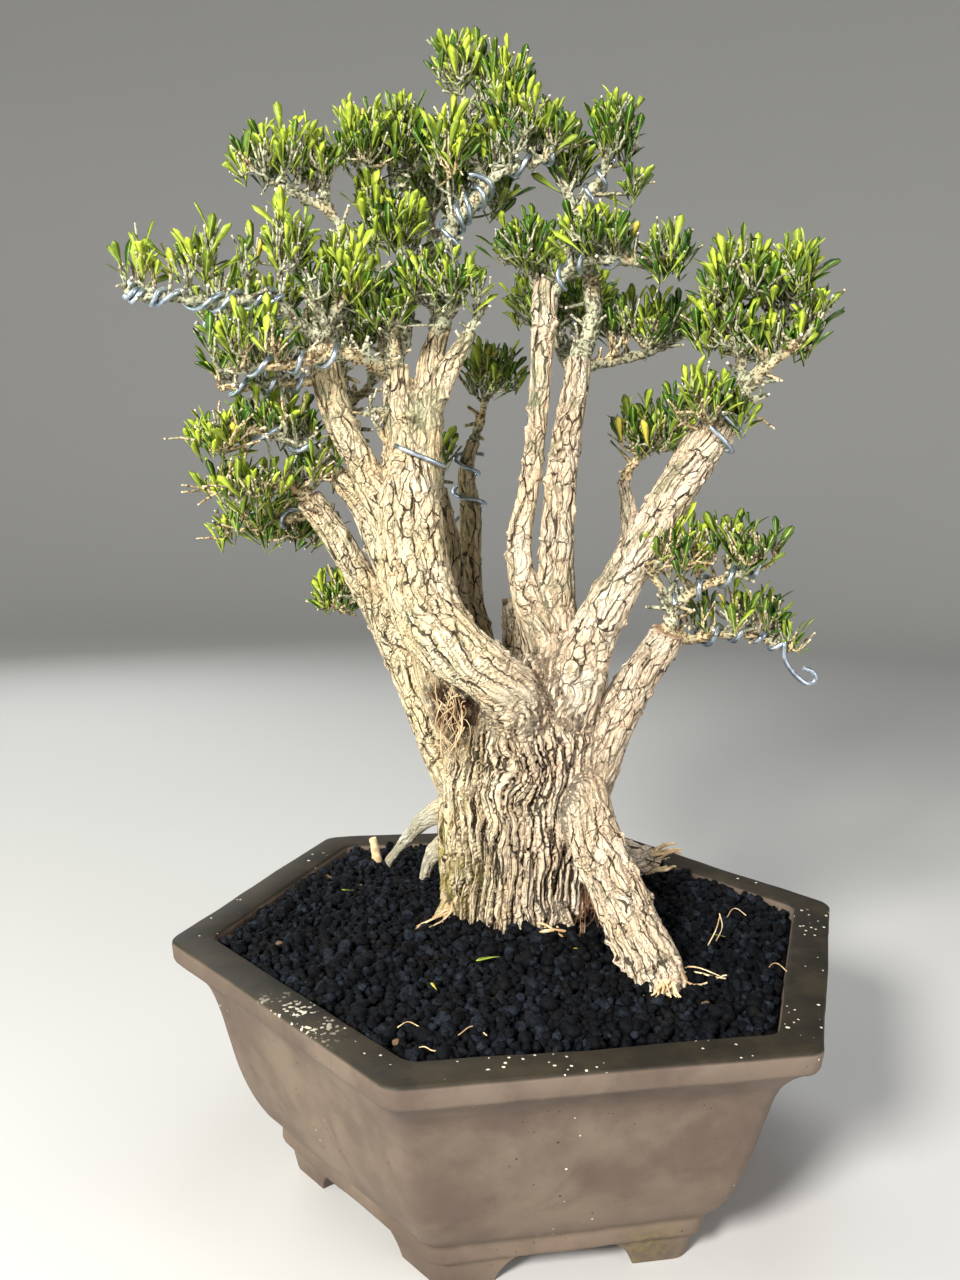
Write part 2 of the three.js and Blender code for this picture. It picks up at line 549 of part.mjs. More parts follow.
// Wires: the spray or limb and the stem they wind round, from where to where along it, how many
// turns, and the angle they start at
const WIRES = {
  wire_far_left: ['spray_far_left', 0, 0.3, 0.94, 4, 0.4],
  wire_far_left_twin: ['spray_far_left', 0, 0.3, 0.94, 4, 2.4],
  wire_left_second: ['spray_left_second', 0, 0.3, 0.96, 3, 1.2],
  wire_left_third: ['spray_left_third', 0, 0.3, 0.94, 3.2, 0.2],
  wire_left_fourth: ['spray_left_fourth', 0, 0.3, 0.94, 2.6, 2],
  wire_left_lower: ['spray_left_lower', 0, 0.3, 0.9, 2.4, 1],
  wire_left_hanging: ['spray_left_hanging', 0, 0.25, 0.9, 2.8, 0],
  wire_apex: ['spray_apex', 0, 0.2, 0.68, 2.8, 0.5],
  wire_apex_twin: ['spray_apex', 0, 0.2, 0.68, 2.8, 2.9],
  wire_apex_right: ['spray_apex', 1, 0.3, 0.92, 2.2, 1.5],
  wire_right_top: ['spray_right_top', 0, 0.52, 0.84, 2.4, 0],
  wire_middle: ['spray_middle', 0, 0.14, 0.66, 2.6, 2.4],
  wire_h_end: ['limbH', 0, 0.78, 0.88, 1.6, 2.6],
  wire_right_shelf: ['spray_right_shelf', 0, 0.3, 0.95, 3.2, 0],
  wire_right_low: ['spray_right_low', 0, 0.2, 0.92, 4, 0.8],
  wire_back_centre: ['limbE', 0, 0.62, 0.94, 2.4, 0],
  wire_cut_end: ['limbA', 0, 0.98, 0.9, -0.4, -0.4],
};

// The right low wire runs on past its branch in an open loop
const WIRE_TAILS = {
  wire_right_low: [[130, -17, 158], [132, -16, 151], [136, -13, 146], [141, -11, 141],
    [146, -10, 137], [149, -11, 140], [146, -13, 144]],
};

const STEPS_PER_TURN = 6;
const FEWEST_STEPS = 6;
const BARK_STAND_OFF = 1.5;
const TWIG_STAND_OFF = 0.3;

// The route of a wire: its turns round the stem, and then its loose end if it has one
function wirePath(name) {
  const [holder, index, from, to, turns, phase] = WIRES[name];
  const onLimb = holder in LIMB_STEMS;
  const stem = onLimb ? LIMB_STEMS[holder] : new Stem(SPRAYS[holder].stems[index]);
  const standOff = WIRE_RADIUS + GAP + (onLimb ? BARK_STAND_OFF : TWIG_STAND_OFF);
  const count = Math.max(FEWEST_STEPS, Math.round(Math.abs(turns) * STEPS_PER_TURN));
  const coil = Array.from({ length: count + 1 }, (_, k) => {
    const { centre, radius, side, up } = stem.at(THREE.MathUtils.lerp(from, to, k / count));
    const angle = phase + (k / count) * turns * 2 * Math.PI;
    return centre.addScaledVector(side, (radius + standOff) * Math.cos(angle))
      .addScaledVector(up, (radius + standOff) * Math.sin(angle));
  });
  const tail = (WIRE_TAILS[name] ?? []).map(([x, y, z]) => new THREE.Vector3(x, y, z));
  return [...coil, ...tail];
}

function wireSolid(name, extra) {
  const section = new THREE.Shape();
  const sides = 4;
  for (let k = 0; k < sides; k++) {
    const angle = ((k + 0.5) * 2 * Math.PI) / sides;
    const [x, y] = [Math.cos(angle), Math.sin(angle)].map((part) => part * (WIRE_RADIUS + extra));
    if (k === 0) section.moveTo(x, y);
    else section.lineTo(x, y);
  }
  const points = wirePath(name);
  const extrudePath = new THREE.CatmullRomCurve3(points, false, 'centripetal');
  return solidOf(new THREE.ExtrudeGeometry(section, {
    steps: points.length - 1, bevelEnabled: false, extrudePath,
  }));
}

// One sprig as one closed shape: a thin stem that rises from its root to a fan of blades.
// Each blade is a pointed spoon shape: its outer face flat, its inner face folded along the rib.
function sprigSolid({ root, top, heading, blades, tilt, length, turn, extra = 0 }) {
  const corners = [];
  const triangles = [];
  const add = (vector) => corners.push(vector) - 1;
  const across = new THREE.Vector3(Math.cos(turn), Math.sin(turn), 0).cross(heading).normalize();
  const other = heading.clone().cross(across);
  const ring = (centre, radius) => Array.from({ length: blades }, (_, k) => {
    const angle = (2 * Math.PI * k) / blades;
    return add(centre.clone().addScaledVector(across, radius * Math.cos(angle))
      .addScaledVector(other, radius * Math.sin(angle)));
  });
  const foot = ring(root, TWIG_RADIUS * 1.15 + extra);
  const collar = ring(top, TWIG_RADIUS * 0.9 + extra);
  const heart = add(top.clone().addScaledVector(heading, 1.3 + 3 * extra));
  for (let k = 0; k < blades; k++) {
    const next = (k + 1) % blades;
    triangles.push(foot[k], foot[next], collar[next], foot[k], collar[next], collar[k]);
    if (k > 1) triangles.push(foot[0], foot[k], foot[k - 1]);

    const middle = (2 * Math.PI * (k + 0.5)) / blades;
    const outward = across.clone().multiplyScalar(Math.cos(middle))
      .addScaledVector(other, Math.sin(middle));
    const width = other.clone().multiplyScalar(Math.cos(middle))
      .addScaledVector(across, -Math.sin(middle));
    const along = heading.clone().multiplyScalar(Math.cos(tilt[k]))
      .addScaledVector(outward, Math.sin(tilt[k]));
    const facing = outward.clone().multiplyScalar(Math.cos(tilt[k]))
      .addScaledVector(heading, -Math.sin(tilt[k]));
    const widest = top.clone().addScaledVector(along, length[k] * 0.64)
      .addScaledVector(facing, LEAF_THICKNESS * 0.7 + extra);
    const left = add(widest.clone().addScaledVector(width, -LEAF_WIDTH / 2 - extra));
    const right = add(widest.clone().addScaledVector(width, LEAF_WIDTH / 2 + extra));
    const tip = add(top.clone().addScaledVector(along, length[k] + 3 * extra));
    triangles.push(
      collar[k], collar[next], right, collar[k], right, left, left, right, tip,
      collar[k], left, heart, collar[next], heart, right,
      heart, left, tip, heart, tip, right);
  }
  const geometry = new THREE.BufferGeometry();
  geometry.setFromPoints(corners);
  geometry.setIndex(triangles);
  return solidOf(geometry);
}

// Where the sprigs of a pad end: spread evenly over the top and sides of an egg shape
function padTargets([x, y, z, halfWidth, halfDepth, halfHeight], random) {
  const area = (4 * Math.PI * (halfWidth * halfDepth + halfWidth * halfHeight
    + halfDepth * halfHeight)) / 3;
  const count = Math.max(2, Math.round(area / SPRIG_AREA));
  const golden = Math.PI * (3 - Math.sqrt(5));
  const start = random() * 2 * Math.PI;
  return Array.from({ length: count }, (_, k) => {
    const lift = 1 - ((k + 0.5) / count) * 1.35;
    const spread = Math.sqrt(1 - lift * lift);
    const angle = start + k * golden;
    const outward = new THREE.Vector3(Math.cos(angle) * spread, Math.sin(angle) * spread, lift);
    return { centre: new THREE.Vector3(x, y, z), outward, half: [halfWidth, halfDepth, halfHeight] };
  });
}

// The place on a branch that a sprig best leaves from: near, and lower than its fan
function nearestRoot(stems, target, random) {
  let best = null;
  for (const stem of stems) {
    for (let t = 0.16; t <= 1; t += 0.04) {
      const { centre } = stem.at(Math.min(t, 0.98));
      const rise = target.z - centre.z;
      const cost = target.distanceTo(centre) + Math.max(0, 8 - rise) * 0.8 + random() * 3;
      if (!best || cost < best.cost) best = { cost, centre };
    }
  }
  return best.centre;
}

function sprigPlan(stems, { centre, outward, half }, random) {
  const reach = 0.72 + random() * 0.28;
  const target = centre.clone().add(new THREE.Vector3(
    outward.x * half[0] * reach, outward.y * half[1] * reach, outward.z * half[2] * reach));
  const heading = new THREE.Vector3(
    outward.x * 0.6 + (random() - 0.5) * 0.3, outward.y * 0.6 + (random() - 0.5) * 0.3, 1).normalize();
  const blades = 4 + Math.floor(random() * 2);
  return {
    root: nearestRoot(stems, target, random),
    top: target,
    heading,
    blades,
    tilt: Array.from({ length: blades }, () => 0.42 + random() * 0.35),
    length: Array.from({ length: blades }, () => LEAF_LENGTH * (0.8 + random() * 0.35)),
    turn: random() * Math.PI,
  };
}

// Everything that a new sprig keeps clear of, each with the box that it fills
class Surroundings {
  constructor() {
    this.entries = [];
  }

  add(solid) {
    const { min, max } = solid.boundingBox();
    this.entries.push({ solid, box: new THREE.Box3(new THREE.Vector3(...min), new THREE.Vector3(...max)) });
  }

  isClear(solid) {
    const { min, max } = solid.boundingBox();
    const box = new THREE.Box3(new THREE.Vector3(...min), new THREE.Vector3(...max));
    return this.entries.every((entry) => !entry.box.intersectsBox(box)
      || entry.solid.intersect(solid).isEmpty());
  }
}

const SPRIG_TRIES = 7;

// A branch of a spray: four sides, or three on a side branch
function branchSolid(stem, extra) {
  const sides = stem.stations[0][3] > 2.5 ? 4 : 3;
  return stemSolid(stem, { sides, rows: stem.stations.length - 1, extra });
}

function spraySolid({ stems: routes, pads }, seed, surroundings) {
  const random = seededRandom(seed);
  const stems = routes.map((stations) => new Stem(stations));
  const own = new Surroundings();
  const sprigs = [];
  for (const target of pads.flatMap((pad) => padTargets(pad, random))) {
    for (let attempt = 0; attempt < SPRIG_TRIES; attempt++) {
      const plan = sprigPlan(stems, target, random);
      const sprig = sprigSolid(plan);
      if (!surroundings.isClear(sprig) || !own.isClear(sprig)) continue;
      own.add(sprig);
      sprigs.push({ solid: sprig, grown: sprigSolid({ ...plan, extra: GAP }) });
      break;
    }
  }
  const branches = stems.map((stem) => branchSolid(stem, 0));
  const near = surroundings.entries.map((entry) => entry.solid);
  const wood = mainBody(union(branches).subtract(union(near)));
  const solid = mainBody(union([wood, ...sprigs.map((sprig) => sprig.solid)]));
  return { solid, grown: [...stems.map((stem) => branchSolid(stem, GAP)),
    ...sprigs.map((sprig) => sprig.grown)] };
}

// Materials

const FINISHES = {
  stoneware: new THREE.MeshStandardMaterial({ color: 0x8b7b6b, roughness: 0.75, metalness: 0 }),
  granules: new THREE.MeshStandardMaterial({ color: 0x24262c, roughness: 0.95, metalness: 0 }),
  bark: new THREE.MeshStandardMaterial({ color: 0xcdb48c, roughness: 0.9, metalness: 0 }),
  foliage: new THREE.MeshStandardMaterial({ color: 0x6f9a2c, roughness: 0.45, metalness: 0 }),
  wire: new THREE.MeshStandardMaterial({ color: 0xa9b2ba, roughness: 0.35, metalness: 0.9 }),
  screen: new THREE.MeshStandardMaterial({ color: 0x1f3d2c, roughness: 0.6, metalness: 0 }),
};

// The whole object

const bonsai = new THREE.Group();

function addPiece(name, solid, finish) {
  const mesh = new THREE.Mesh(geometryOf(solid), FINISHES[finish]);
  mesh.name = name;
  bonsai.add(mesh);
}

const grownLimbs = limbSolids(GAP + 0.1);
const stub = new Stem(DEAD_STUB);

addPiece('pot', potSolid(), 'stoneware');
addPiece('drain_screen', screenSolid(), 'screen');
addPiece('trunk', mainBody(union(limbSolids(0)), 0.4), 'bark');
addPiece('dead_stub', stemSolid(stub, { sides: 6, rows: 2 }), 'bark');

const pocket = new THREE.BoxGeometry(SCREEN_SIZE + 1, SCREEN_SIZE + 1, 2 * SCREEN_THICKNESS + 2 * GAP);
pocket.rotateZ(POT_TURN);
pocket.translate(0, 0, potProfile().floor + GAP);
const stubHole = stemSolid(stub, { sides: 6, rows: 2, extra: 2 * GAP });
addPiece('soil', soilSolid([...limbSolids(2 * GAP), stubHole, solidOf(pocket)]), 'granules');

const surroundings = new Surroundings();
grownLimbs.forEach((limb) => surroundings.add(limb));
for (const name of Object.keys(WIRES)) {
  addPiece(name, wireSolid(name, 0), 'wire');
  surroundings.add(wireSolid(name, GAP));
}
Object.entries(SPRAYS).forEach(([name, spray], k) => {
  const { solid, grown } = spraySolid(spray, 100 + k, surroundings);
  addPiece(name, solid, 'foliage');
  grown.forEach((part) => surroundings.add(part));
});

const box = new THREE.Box3().setFromObject(bonsai);
const middle = box.getCenter(new THREE.Vector3());
bonsai.position.set(-middle.x, -middle.y, POT_HEIGHT);

const group = new THREE.Group();
group.add(bonsai);

export default group;
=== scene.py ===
# A boxwood bonsai in an unglazed hexagonal pot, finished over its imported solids.
# Shapes are drawn in millimetres round the pot's axis, with height zero at the top of its rim,
# and each finished mesh is then set in the frame from the pot's own box.
import math
import random

import bmesh
import bpy
import numpy as np
from mathutils import Matrix, Vector, noise
from mathutils.geometry import interpolate_bezier


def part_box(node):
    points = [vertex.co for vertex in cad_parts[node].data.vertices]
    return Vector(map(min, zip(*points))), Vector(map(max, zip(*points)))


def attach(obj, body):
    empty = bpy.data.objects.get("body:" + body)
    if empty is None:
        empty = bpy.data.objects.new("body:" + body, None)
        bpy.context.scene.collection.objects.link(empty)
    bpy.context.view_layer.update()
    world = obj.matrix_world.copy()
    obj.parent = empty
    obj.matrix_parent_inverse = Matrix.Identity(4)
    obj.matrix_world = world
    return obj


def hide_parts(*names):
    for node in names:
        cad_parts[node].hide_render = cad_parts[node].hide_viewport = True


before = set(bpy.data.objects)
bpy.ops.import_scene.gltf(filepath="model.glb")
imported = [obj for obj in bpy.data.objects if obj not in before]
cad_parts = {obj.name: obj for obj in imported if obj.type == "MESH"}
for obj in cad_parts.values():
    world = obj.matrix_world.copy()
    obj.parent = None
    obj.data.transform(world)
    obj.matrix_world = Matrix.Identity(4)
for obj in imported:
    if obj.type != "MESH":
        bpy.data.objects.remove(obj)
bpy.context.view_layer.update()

# Pot: one piece of unglazed stoneware, pressed in a mould. A wide flat lip, six walls that curve
# in to a base band, and bracket feet cut from the same clay under the corners. Its floor has a
# drain hole. The clay is mauve brown, with lime specks, pin holes and the marks of watering.
MM = 0.001
POT_HEIGHT = 128
POT_TURN = math.radians(14.7)
FLOOR_THICKNESS = 11
FOOT_HEIGHT = 14
FOOT_CORNER = 120
FOOT_WIDTH = 16
FOOT_LEG = 40
FOOT_UNDERCUT = 13
DRAIN_RADIUS = 20
CORNER_BLUNTING = 5
FOOT_ROUNDING = 1.6
DRILL_LENGTH = 60
SHARP_EDGE = math.radians(38)
# Edges longer than this run along a wall, and are cut so often
WALL_EDGE = 90
WALL_CUTS = 24
# How far the clay warps, and over what lengths
WARPS = [[0.7, 60], [0.25, 13]]
LIP_EDGE = [[177.4, 0], [178.9, -0.35], [179.8, -1.2], [180, -2.6]]
LIP_SIDE = [[179.1, -9.4], [178.2, -11], [176, -12]]
BODY_CURVE = [[175, -12.6], [168, -18.5], [161, -27], [155, -44], [148.5, -67], [141, -85],
              [134, -96], [126.5, -102.6]]
BASE_BAND = [[125.6, -103.8], [125.4, -105.6], [125.4, -110.6], [124.4, -112.6], [122, -114]]
INSIDE = [[116, -103], [130, -80], [147, -32], [157, -10], [157.6, -3], [158.6, -0.8], [160.4, 0]]

pot_low, pot_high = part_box("pot")
RIM_CENTRE = Vector(((pot_low.x + pot_high.x) / 2, (pot_low.y + pot_high.y) / 2, pot_high.z))
IN_FRAME = Matrix.Translation(RIM_CENTRE) @ Matrix.Scale(MM, 4)


def holder_of(name, data):
    """An object in the scene that holds a mesh or a curve"""
    holder = bpy.data.objects.new(name, data)
    bpy.context.scene.collection.objects.link(holder)
    return holder


def settled_mesh(holder):
    """The mesh of an object with its modifiers applied. The object itself is dropped."""
    bpy.context.view_layer.update()
    evaluated = holder.evaluated_get(bpy.context.evaluated_depsgraph_get())
    mesh = bpy.data.meshes.new_from_object(evaluated)
    bpy.data.objects.remove(holder)
    return mesh


def mesh_of(bm, name):
    mesh = bpy.data.meshes.new(name)
    bm.to_mesh(mesh)
    bm.free()
    return mesh


def finished(name, mesh, materials, replaces=(), smooth=True, sharp_angle=None):
    """Sets a mesh that was drawn in millimetres in the frame, as a piece of the object"""
    mesh.transform(IN_FRAME)
    mesh.materials.clear()
    for material in materials:
        mesh.materials.append(material)
    mesh.polygons.foreach_set("use_smooth", [smooth] * len(mesh.polygons))
    if sharp_angle:
        mesh.set_sharp_from_angle(angle=sharp_angle)
    piece = holder_of(name, mesh)
    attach(piece, "root")
    if replaces:
        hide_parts(*replaces)
    return piece


def hexagon_body(bm, profile, capped=True):
    """Six walls through the rings of a profile, with their corners blunted"""
    # A circle's first corner lies on +Y, a quarter turn past +X
    turn = Matrix.Rotation(POT_TURN - math.pi / 2, 4, "Z")
    rings, edges = [], []
    for level, (corner, _) in enumerate(profile):
        # Rings of one height would be bridged wrongly, so they start at even steps
        made = bmesh.ops.create_circle(bm, segments=6, radius=corner,
                                       matrix=Matrix.Translation((0, 0, 9 * level)) @ turn)
        rings.append(made["verts"])
        edges.append({edge for vert in made["verts"] for edge in vert.link_edges})
    for first, second in zip(edges, edges[1:]):
        bmesh.ops.bridge_loops(bm, edges=list(first | second))
    if capped:
        for ring in (edges[0], edges[-1]):
            bmesh.ops.contextual_create(bm, geom=list(ring))
    for ring, (corner, height) in zip(rings, profile):
        for vert in ring:
            vert.co.z = height
    bmesh.ops.remove_doubles(bm, verts=bm.verts, dist=0.01)
    corners = [edge for edge in bm.edges
               if edge.verts[0].co.xy.angle(edge.verts[1].co.xy) < 0.01]
    bmesh.ops.bevel(bm, geom=corners, offset=CORNER_BLUNTING, offset_type="OFFSET", segments=5,
                    profile=0.5, affect="EDGES", material=-1)


def stretches(spots, steps=None, spacing=None):
    """The points of a smooth line through some spots, stretch by stretch, either with as many
    steps in each or about a spacing apart"""
    for i, (first, second) in enumerate(zip(spots, spots[1:])):
        before, after = spots[max(i - 1, 0)], spots[min(i + 2, len(spots) - 1)]
        reach = (second - first).length / 3
        leave = (second - before).normalized() * reach
        arrive = (after - first).normalized() * reach
        count = steps or max(1, round(3 * reach / spacing))
        yield interpolate_bezier(first, first + leave, second - arrive, second, count + 1)


def smooth_profile(points, steps):
    """More points on a smooth line through a profile"""
    spots = [Vector((x, z, 0)) for x, z in points]
    line = [(spot.x, spot.y) for curve in stretches(spots, steps) for spot in curve[:-1]]
    return line + [tuple(points[-1])]


def pot_shell():
    floor = -POT_HEIGHT + FOOT_HEIGHT + FLOOR_THICKNESS
    inside = smooth_profile(INSIDE[:4], 4) + INSIDE[4:]
    outside = LIP_EDGE + LIP_SIDE + smooth_profile(BODY_CURVE, 4) + BASE_BAND
    bm = bmesh.new()
    hexagon_body(bm, [[INSIDE[0][0], floor]] + inside[1:] + outside)
    sides = [edge for edge in bm.edges if edge.calc_length() > WALL_EDGE]
    bmesh.ops.subdivide_edges(bm, edges=sides, cuts=WALL_CUTS, use_grid_fill=True)
    bmesh.ops.recalc_face_normals(bm, faces=bm.faces)
    bm.normal_update()
    # Clay moves a little as it dries and is fired
    for vert in bm.verts:
        warp = sum(height * noise.noise(vert.co / length) for height, length in WARPS)
        vert.co += vert.normal * warp
    return mesh_of(bm, "pot_shell")


def drill():
    bm = bmesh.new()
    bmesh.ops.create_cone(bm, cap_ends=True, segments=48, radius1=DRAIN_RADIUS,
                          radius2=DRAIN_RADIUS, depth=DRILL_LENGTH,
                          matrix=Matrix.Translation((0, 0, -POT_HEIGHT + FOOT_HEIGHT)))
    return holder_of("drill", mesh_of(bm, "drill"))


def foot_gaps():
    """What is cut away between the feet: an arch on each side, wider at the bottom"""
    top = FOOT_CORNER / 2 - FOOT_LEG
    bottom = top + FOOT_UNDERCUT
    curve = interpolate_bezier(Vector((bottom, 0, -FOOT_HEIGHT - 2)), Vector((bottom - 1, 0, -7)),
                               Vector((top + 5, 0, -1.5)), Vector((top, 0, 0)), 9)
    outline = curve + [Vector((-spot.x, 0, spot.z)) for spot in reversed(curve)]
    bm = bmesh.new()
    for side in range(6):
        face = bm.faces.new([bm.verts.new(spot) for spot in outline])
        made = bmesh.ops.extrude_face_region(bm, geom=[face])
        far = [item for item in made["geom"] if isinstance(item, bmesh.types.BMVert)]
        bmesh.ops.translate(bm, verts=far, vec=(0, -FOOT_CORNER, 0))
        both = far + list(face.verts)
        bmesh.ops.translate(bm, verts=both, vec=(0, -FOOT_CORNER / 3, -POT_HEIGHT + FOOT_HEIGHT))
        turn = Matrix.Rotation(POT_TURN + (side + 0.5) * math.pi / 3 + math.pi / 2, 4, "Z")
        bmesh.ops.rotate(bm, verts=both, cent=(0, 0, 0), matrix=turn)
    bmesh.ops.recalc_face_normals(bm, faces=bm.faces)
    return holder_of("foot_gaps", mesh_of(bm, "foot_gaps"))


def cut(holder, cutter):
    modifier = holder.modifiers.new("cut", "BOOLEAN")
    modifier.operation = "DIFFERENCE"
    modifier.solver = "MANIFOLD"
    modifier.object = cutter
    return modifier


def pot_feet():
    base = -POT_HEIGHT + FOOT_HEIGHT
    bm = bmesh.new()
    inner = FOOT_CORNER - FOOT_WIDTH
    hexagon_body(bm, [[inner, base + 2], [FOOT_CORNER + 1, base + 2], [FOOT_CORNER, base - 2],
                      [FOOT_CORNER - 3, -POT_HEIGHT], [inner, -POT_HEIGHT], [inner, base + 2]],
                 capped=False)
    bmesh.ops.recalc_face_normals(bm, faces=bm.faces)
    band = holder_of("foot_band", mesh_of(bm, "foot_band"))
    gaps = foot_gaps()
    cut(band, gaps)
    rounding = band.modifiers.new("rounding", "BEVEL")
    rounding.width = FOOT_ROUNDING
    rounding.segments = 3
    rounding.limit_method = "ANGLE"
    feet = settled_mesh(band)
    bpy.data.objects.remove(gaps)
    return feet


# The pot's clay, and with it the small functions that all the finishes are made with


def filled(tree, made, inputs):
    """Links or sets a node's inputs, by name or number, and gives its outputs"""
    for key, value in inputs.items():
        if isinstance(value, bpy.types.NodeSocket):
            tree.links.new(value, made.inputs[key])
        else:
            made.inputs[key].default_value = value
    return made.outputs


def node(tree, kind, inputs, output=0, **settings):
    """One output of a new shader node"""
    made = tree.nodes.new("ShaderNode" + kind)
    for key, value in settings.items():
        setattr(made, key, value)
    return filled(tree, made, inputs)[output]


def maths(tree, operation, *values, clamped=False):
    return node(tree, "Math", dict(enumerate(values)), operation=operation, use_clamp=clamped)


def times(tree, first, second):
    """A product, kept between 0 and 1"""
    return maths(tree, "MULTIPLY", first, second, clamped=True)


def most(tree, first, second):
    return maths(tree, "MAXIMUM", first, second, clamped=True)


def tangle(tree, vector, scale, detail, **more):
    """Cloudy noise about 0.5"""
    return node(tree, "TexNoise", {"Vector": vector, "Scale": scale, "Detail": detail, **more})


def ramp(tree, value, low, high, top=1.0, bottom=0.0, **settings):
    """Bottom where a value is low, top where it is high, and evenly in between"""
    return node(tree, "MapRange", {"Value": value, "From Min": low, "From Max": high,
                                   "To Min": bottom, "To Max": top}, **settings)


def ease(tree, value, low, high):
    """0 below low and 1 above high, with a soft step between"""
    return ramp(tree, value, low, high, interpolation_type="SMOOTHSTEP")


def blend(tree, share, first, second):
    return node(tree, "Mix", {0: share, 6: first, 7: second}, output=2, data_type="RGBA")


def axis(tree, vector, name):
    return node(tree, "SeparateXYZ", {"Vector": vector}, output=name)


def attribute(tree, name, output="Fac"):
    return node(tree, "Attribute", {}, output=output, attribute_name=name)


def colour(red, green, blue):
    """A colour as it is seen, from 0 to 255, for a shader"""
    return tuple((part / 255) ** 2.2 for part in (red, green, blue)) + (1,)


def new_material(name):
    """A material, its tree, and the place on the object that its patterns lie at"""
    material = bpy.data.materials.new(name)
    material.use_nodes = True
    tree = material.node_tree
    return material, tree, node(tree, "TexCoord", {}, output="Object")


def surface(tree, body, rough, relief=None, shine=0.5, metal=0.0):
    """Joins up a finish: its colour, its roughness as [driver, smoothest, coarsest], and its low
    relief as [height, strength, depth]"""
    driver, smoothest, coarsest = rough
    inputs = {"Base Color": body, "Roughness": ramp(tree, driver, 0.0, 1.0, coarsest, smoothest),
              "Specular IOR Level": shine, "Metallic": metal}
    if relief:
        height, strength, depth = relief
        inputs["Normal"] = node(tree, "Bump", {"Height": height, "Strength": strength,
                                               "Distance": depth})
    filled(tree, tree.nodes["Principled BSDF"], inputs)


def new_group(name, inputs, outputs):
    """A node group with its sockets, each a name and a kind"""
    group = bpy.data.node_groups.new(name, "ShaderNodeTree")
    for way, sockets in (("INPUT", inputs), ("OUTPUT", outputs)):
        for label, kind in sockets.items():
            group.interface.new_socket(name=label, in_out=way, socket_type="NodeSocket" + kind)
    given, result = group.nodes.new("NodeGroupInput"), group.nodes.new("NodeGroupOutput")
    return group, given.outputs, result.inputs


def from_group(tree, group, inputs):
    made = tree.nodes.new("ShaderNodeGroup")
    made.node_tree = group
    return filled(tree, made, inputs)


def speckle_group():
    """Scattered specks: dots of one size, kept only where a slow noise is high"""
    group, given, result = new_group("speckle", {
        "Vector": "Vector", "Dots": "Float", "Size": "Float", "Patches": "Float",
        "Spread": "Float"}, {"Mask": "Float"})
    dots = node(group, "TexVoronoi", {"Vector": given["Vector"], "Scale": given["Dots"]})
    ragged = tangle(group, given["Vector"], given["Dots"], 3.0)
    inside = maths(group, "LESS_THAN", maths(group, "MULTIPLY", dots, ragged), given["Size"])
    patches = tangle(group, given["Vector"], given["Patches"], 4.0, Roughness=0.65)
    kept = maths(group, "GREATER_THAN", patches, maths(group, "SUBTRACT", 1.0, given["Spread"]))
    group.links.new(maths(group, "MULTIPLY", inside, kept), result["Mask"])
    return group


def mottle_group():
    """Two colours in clouds of many sizes, as fired clay, bark and leaves have them"""
    group, given, result = new_group("mottle", {
        "Vector": "Vector", "Scale": "Float", "First": "Color", "Second": "Color"},
        {"Color": "Color", "Cloud": "Float"})
    cloud = tangle(group, given["Vector"], given["Scale"], 7.0, Roughness=0.62)
    mixed = blend(group, ease(group, cloud, 0.36, 0.66), given["First"], given["Second"])
    group.links.new(mixed, result["Color"])
    group.links.new(cloud, result["Cloud"])
    return group


SPECKLE = speckle_group()
MOTTLE = mottle_group()


def speckle(tree, vector, dots, size, patches, spread):
    return from_group(tree, SPECKLE, {"Vector": vector, "Dots": dots, "Size": size,
                                      "Patches": patches, "Spread": spread})["Mask"]


def mottle(tree, vector, scale, first, second):
    made = from_group(tree, MOTTLE, {"Vector": vector, "Scale": scale, "First": first,
                                     "Second": second})
    return made["Color"], made["Cloud"]


def near_spot(tree, vector, spot, reach):
    """1 at a spot given in millimetres, and 0 past a reach from it"""
    away = node(tree, "VectorMath", {0: vector, 1: IN_FRAME @ Vector(spot)}, output="Value",
                operation="DISTANCE")
    return ease(tree, away, reach * MM, 0.0)


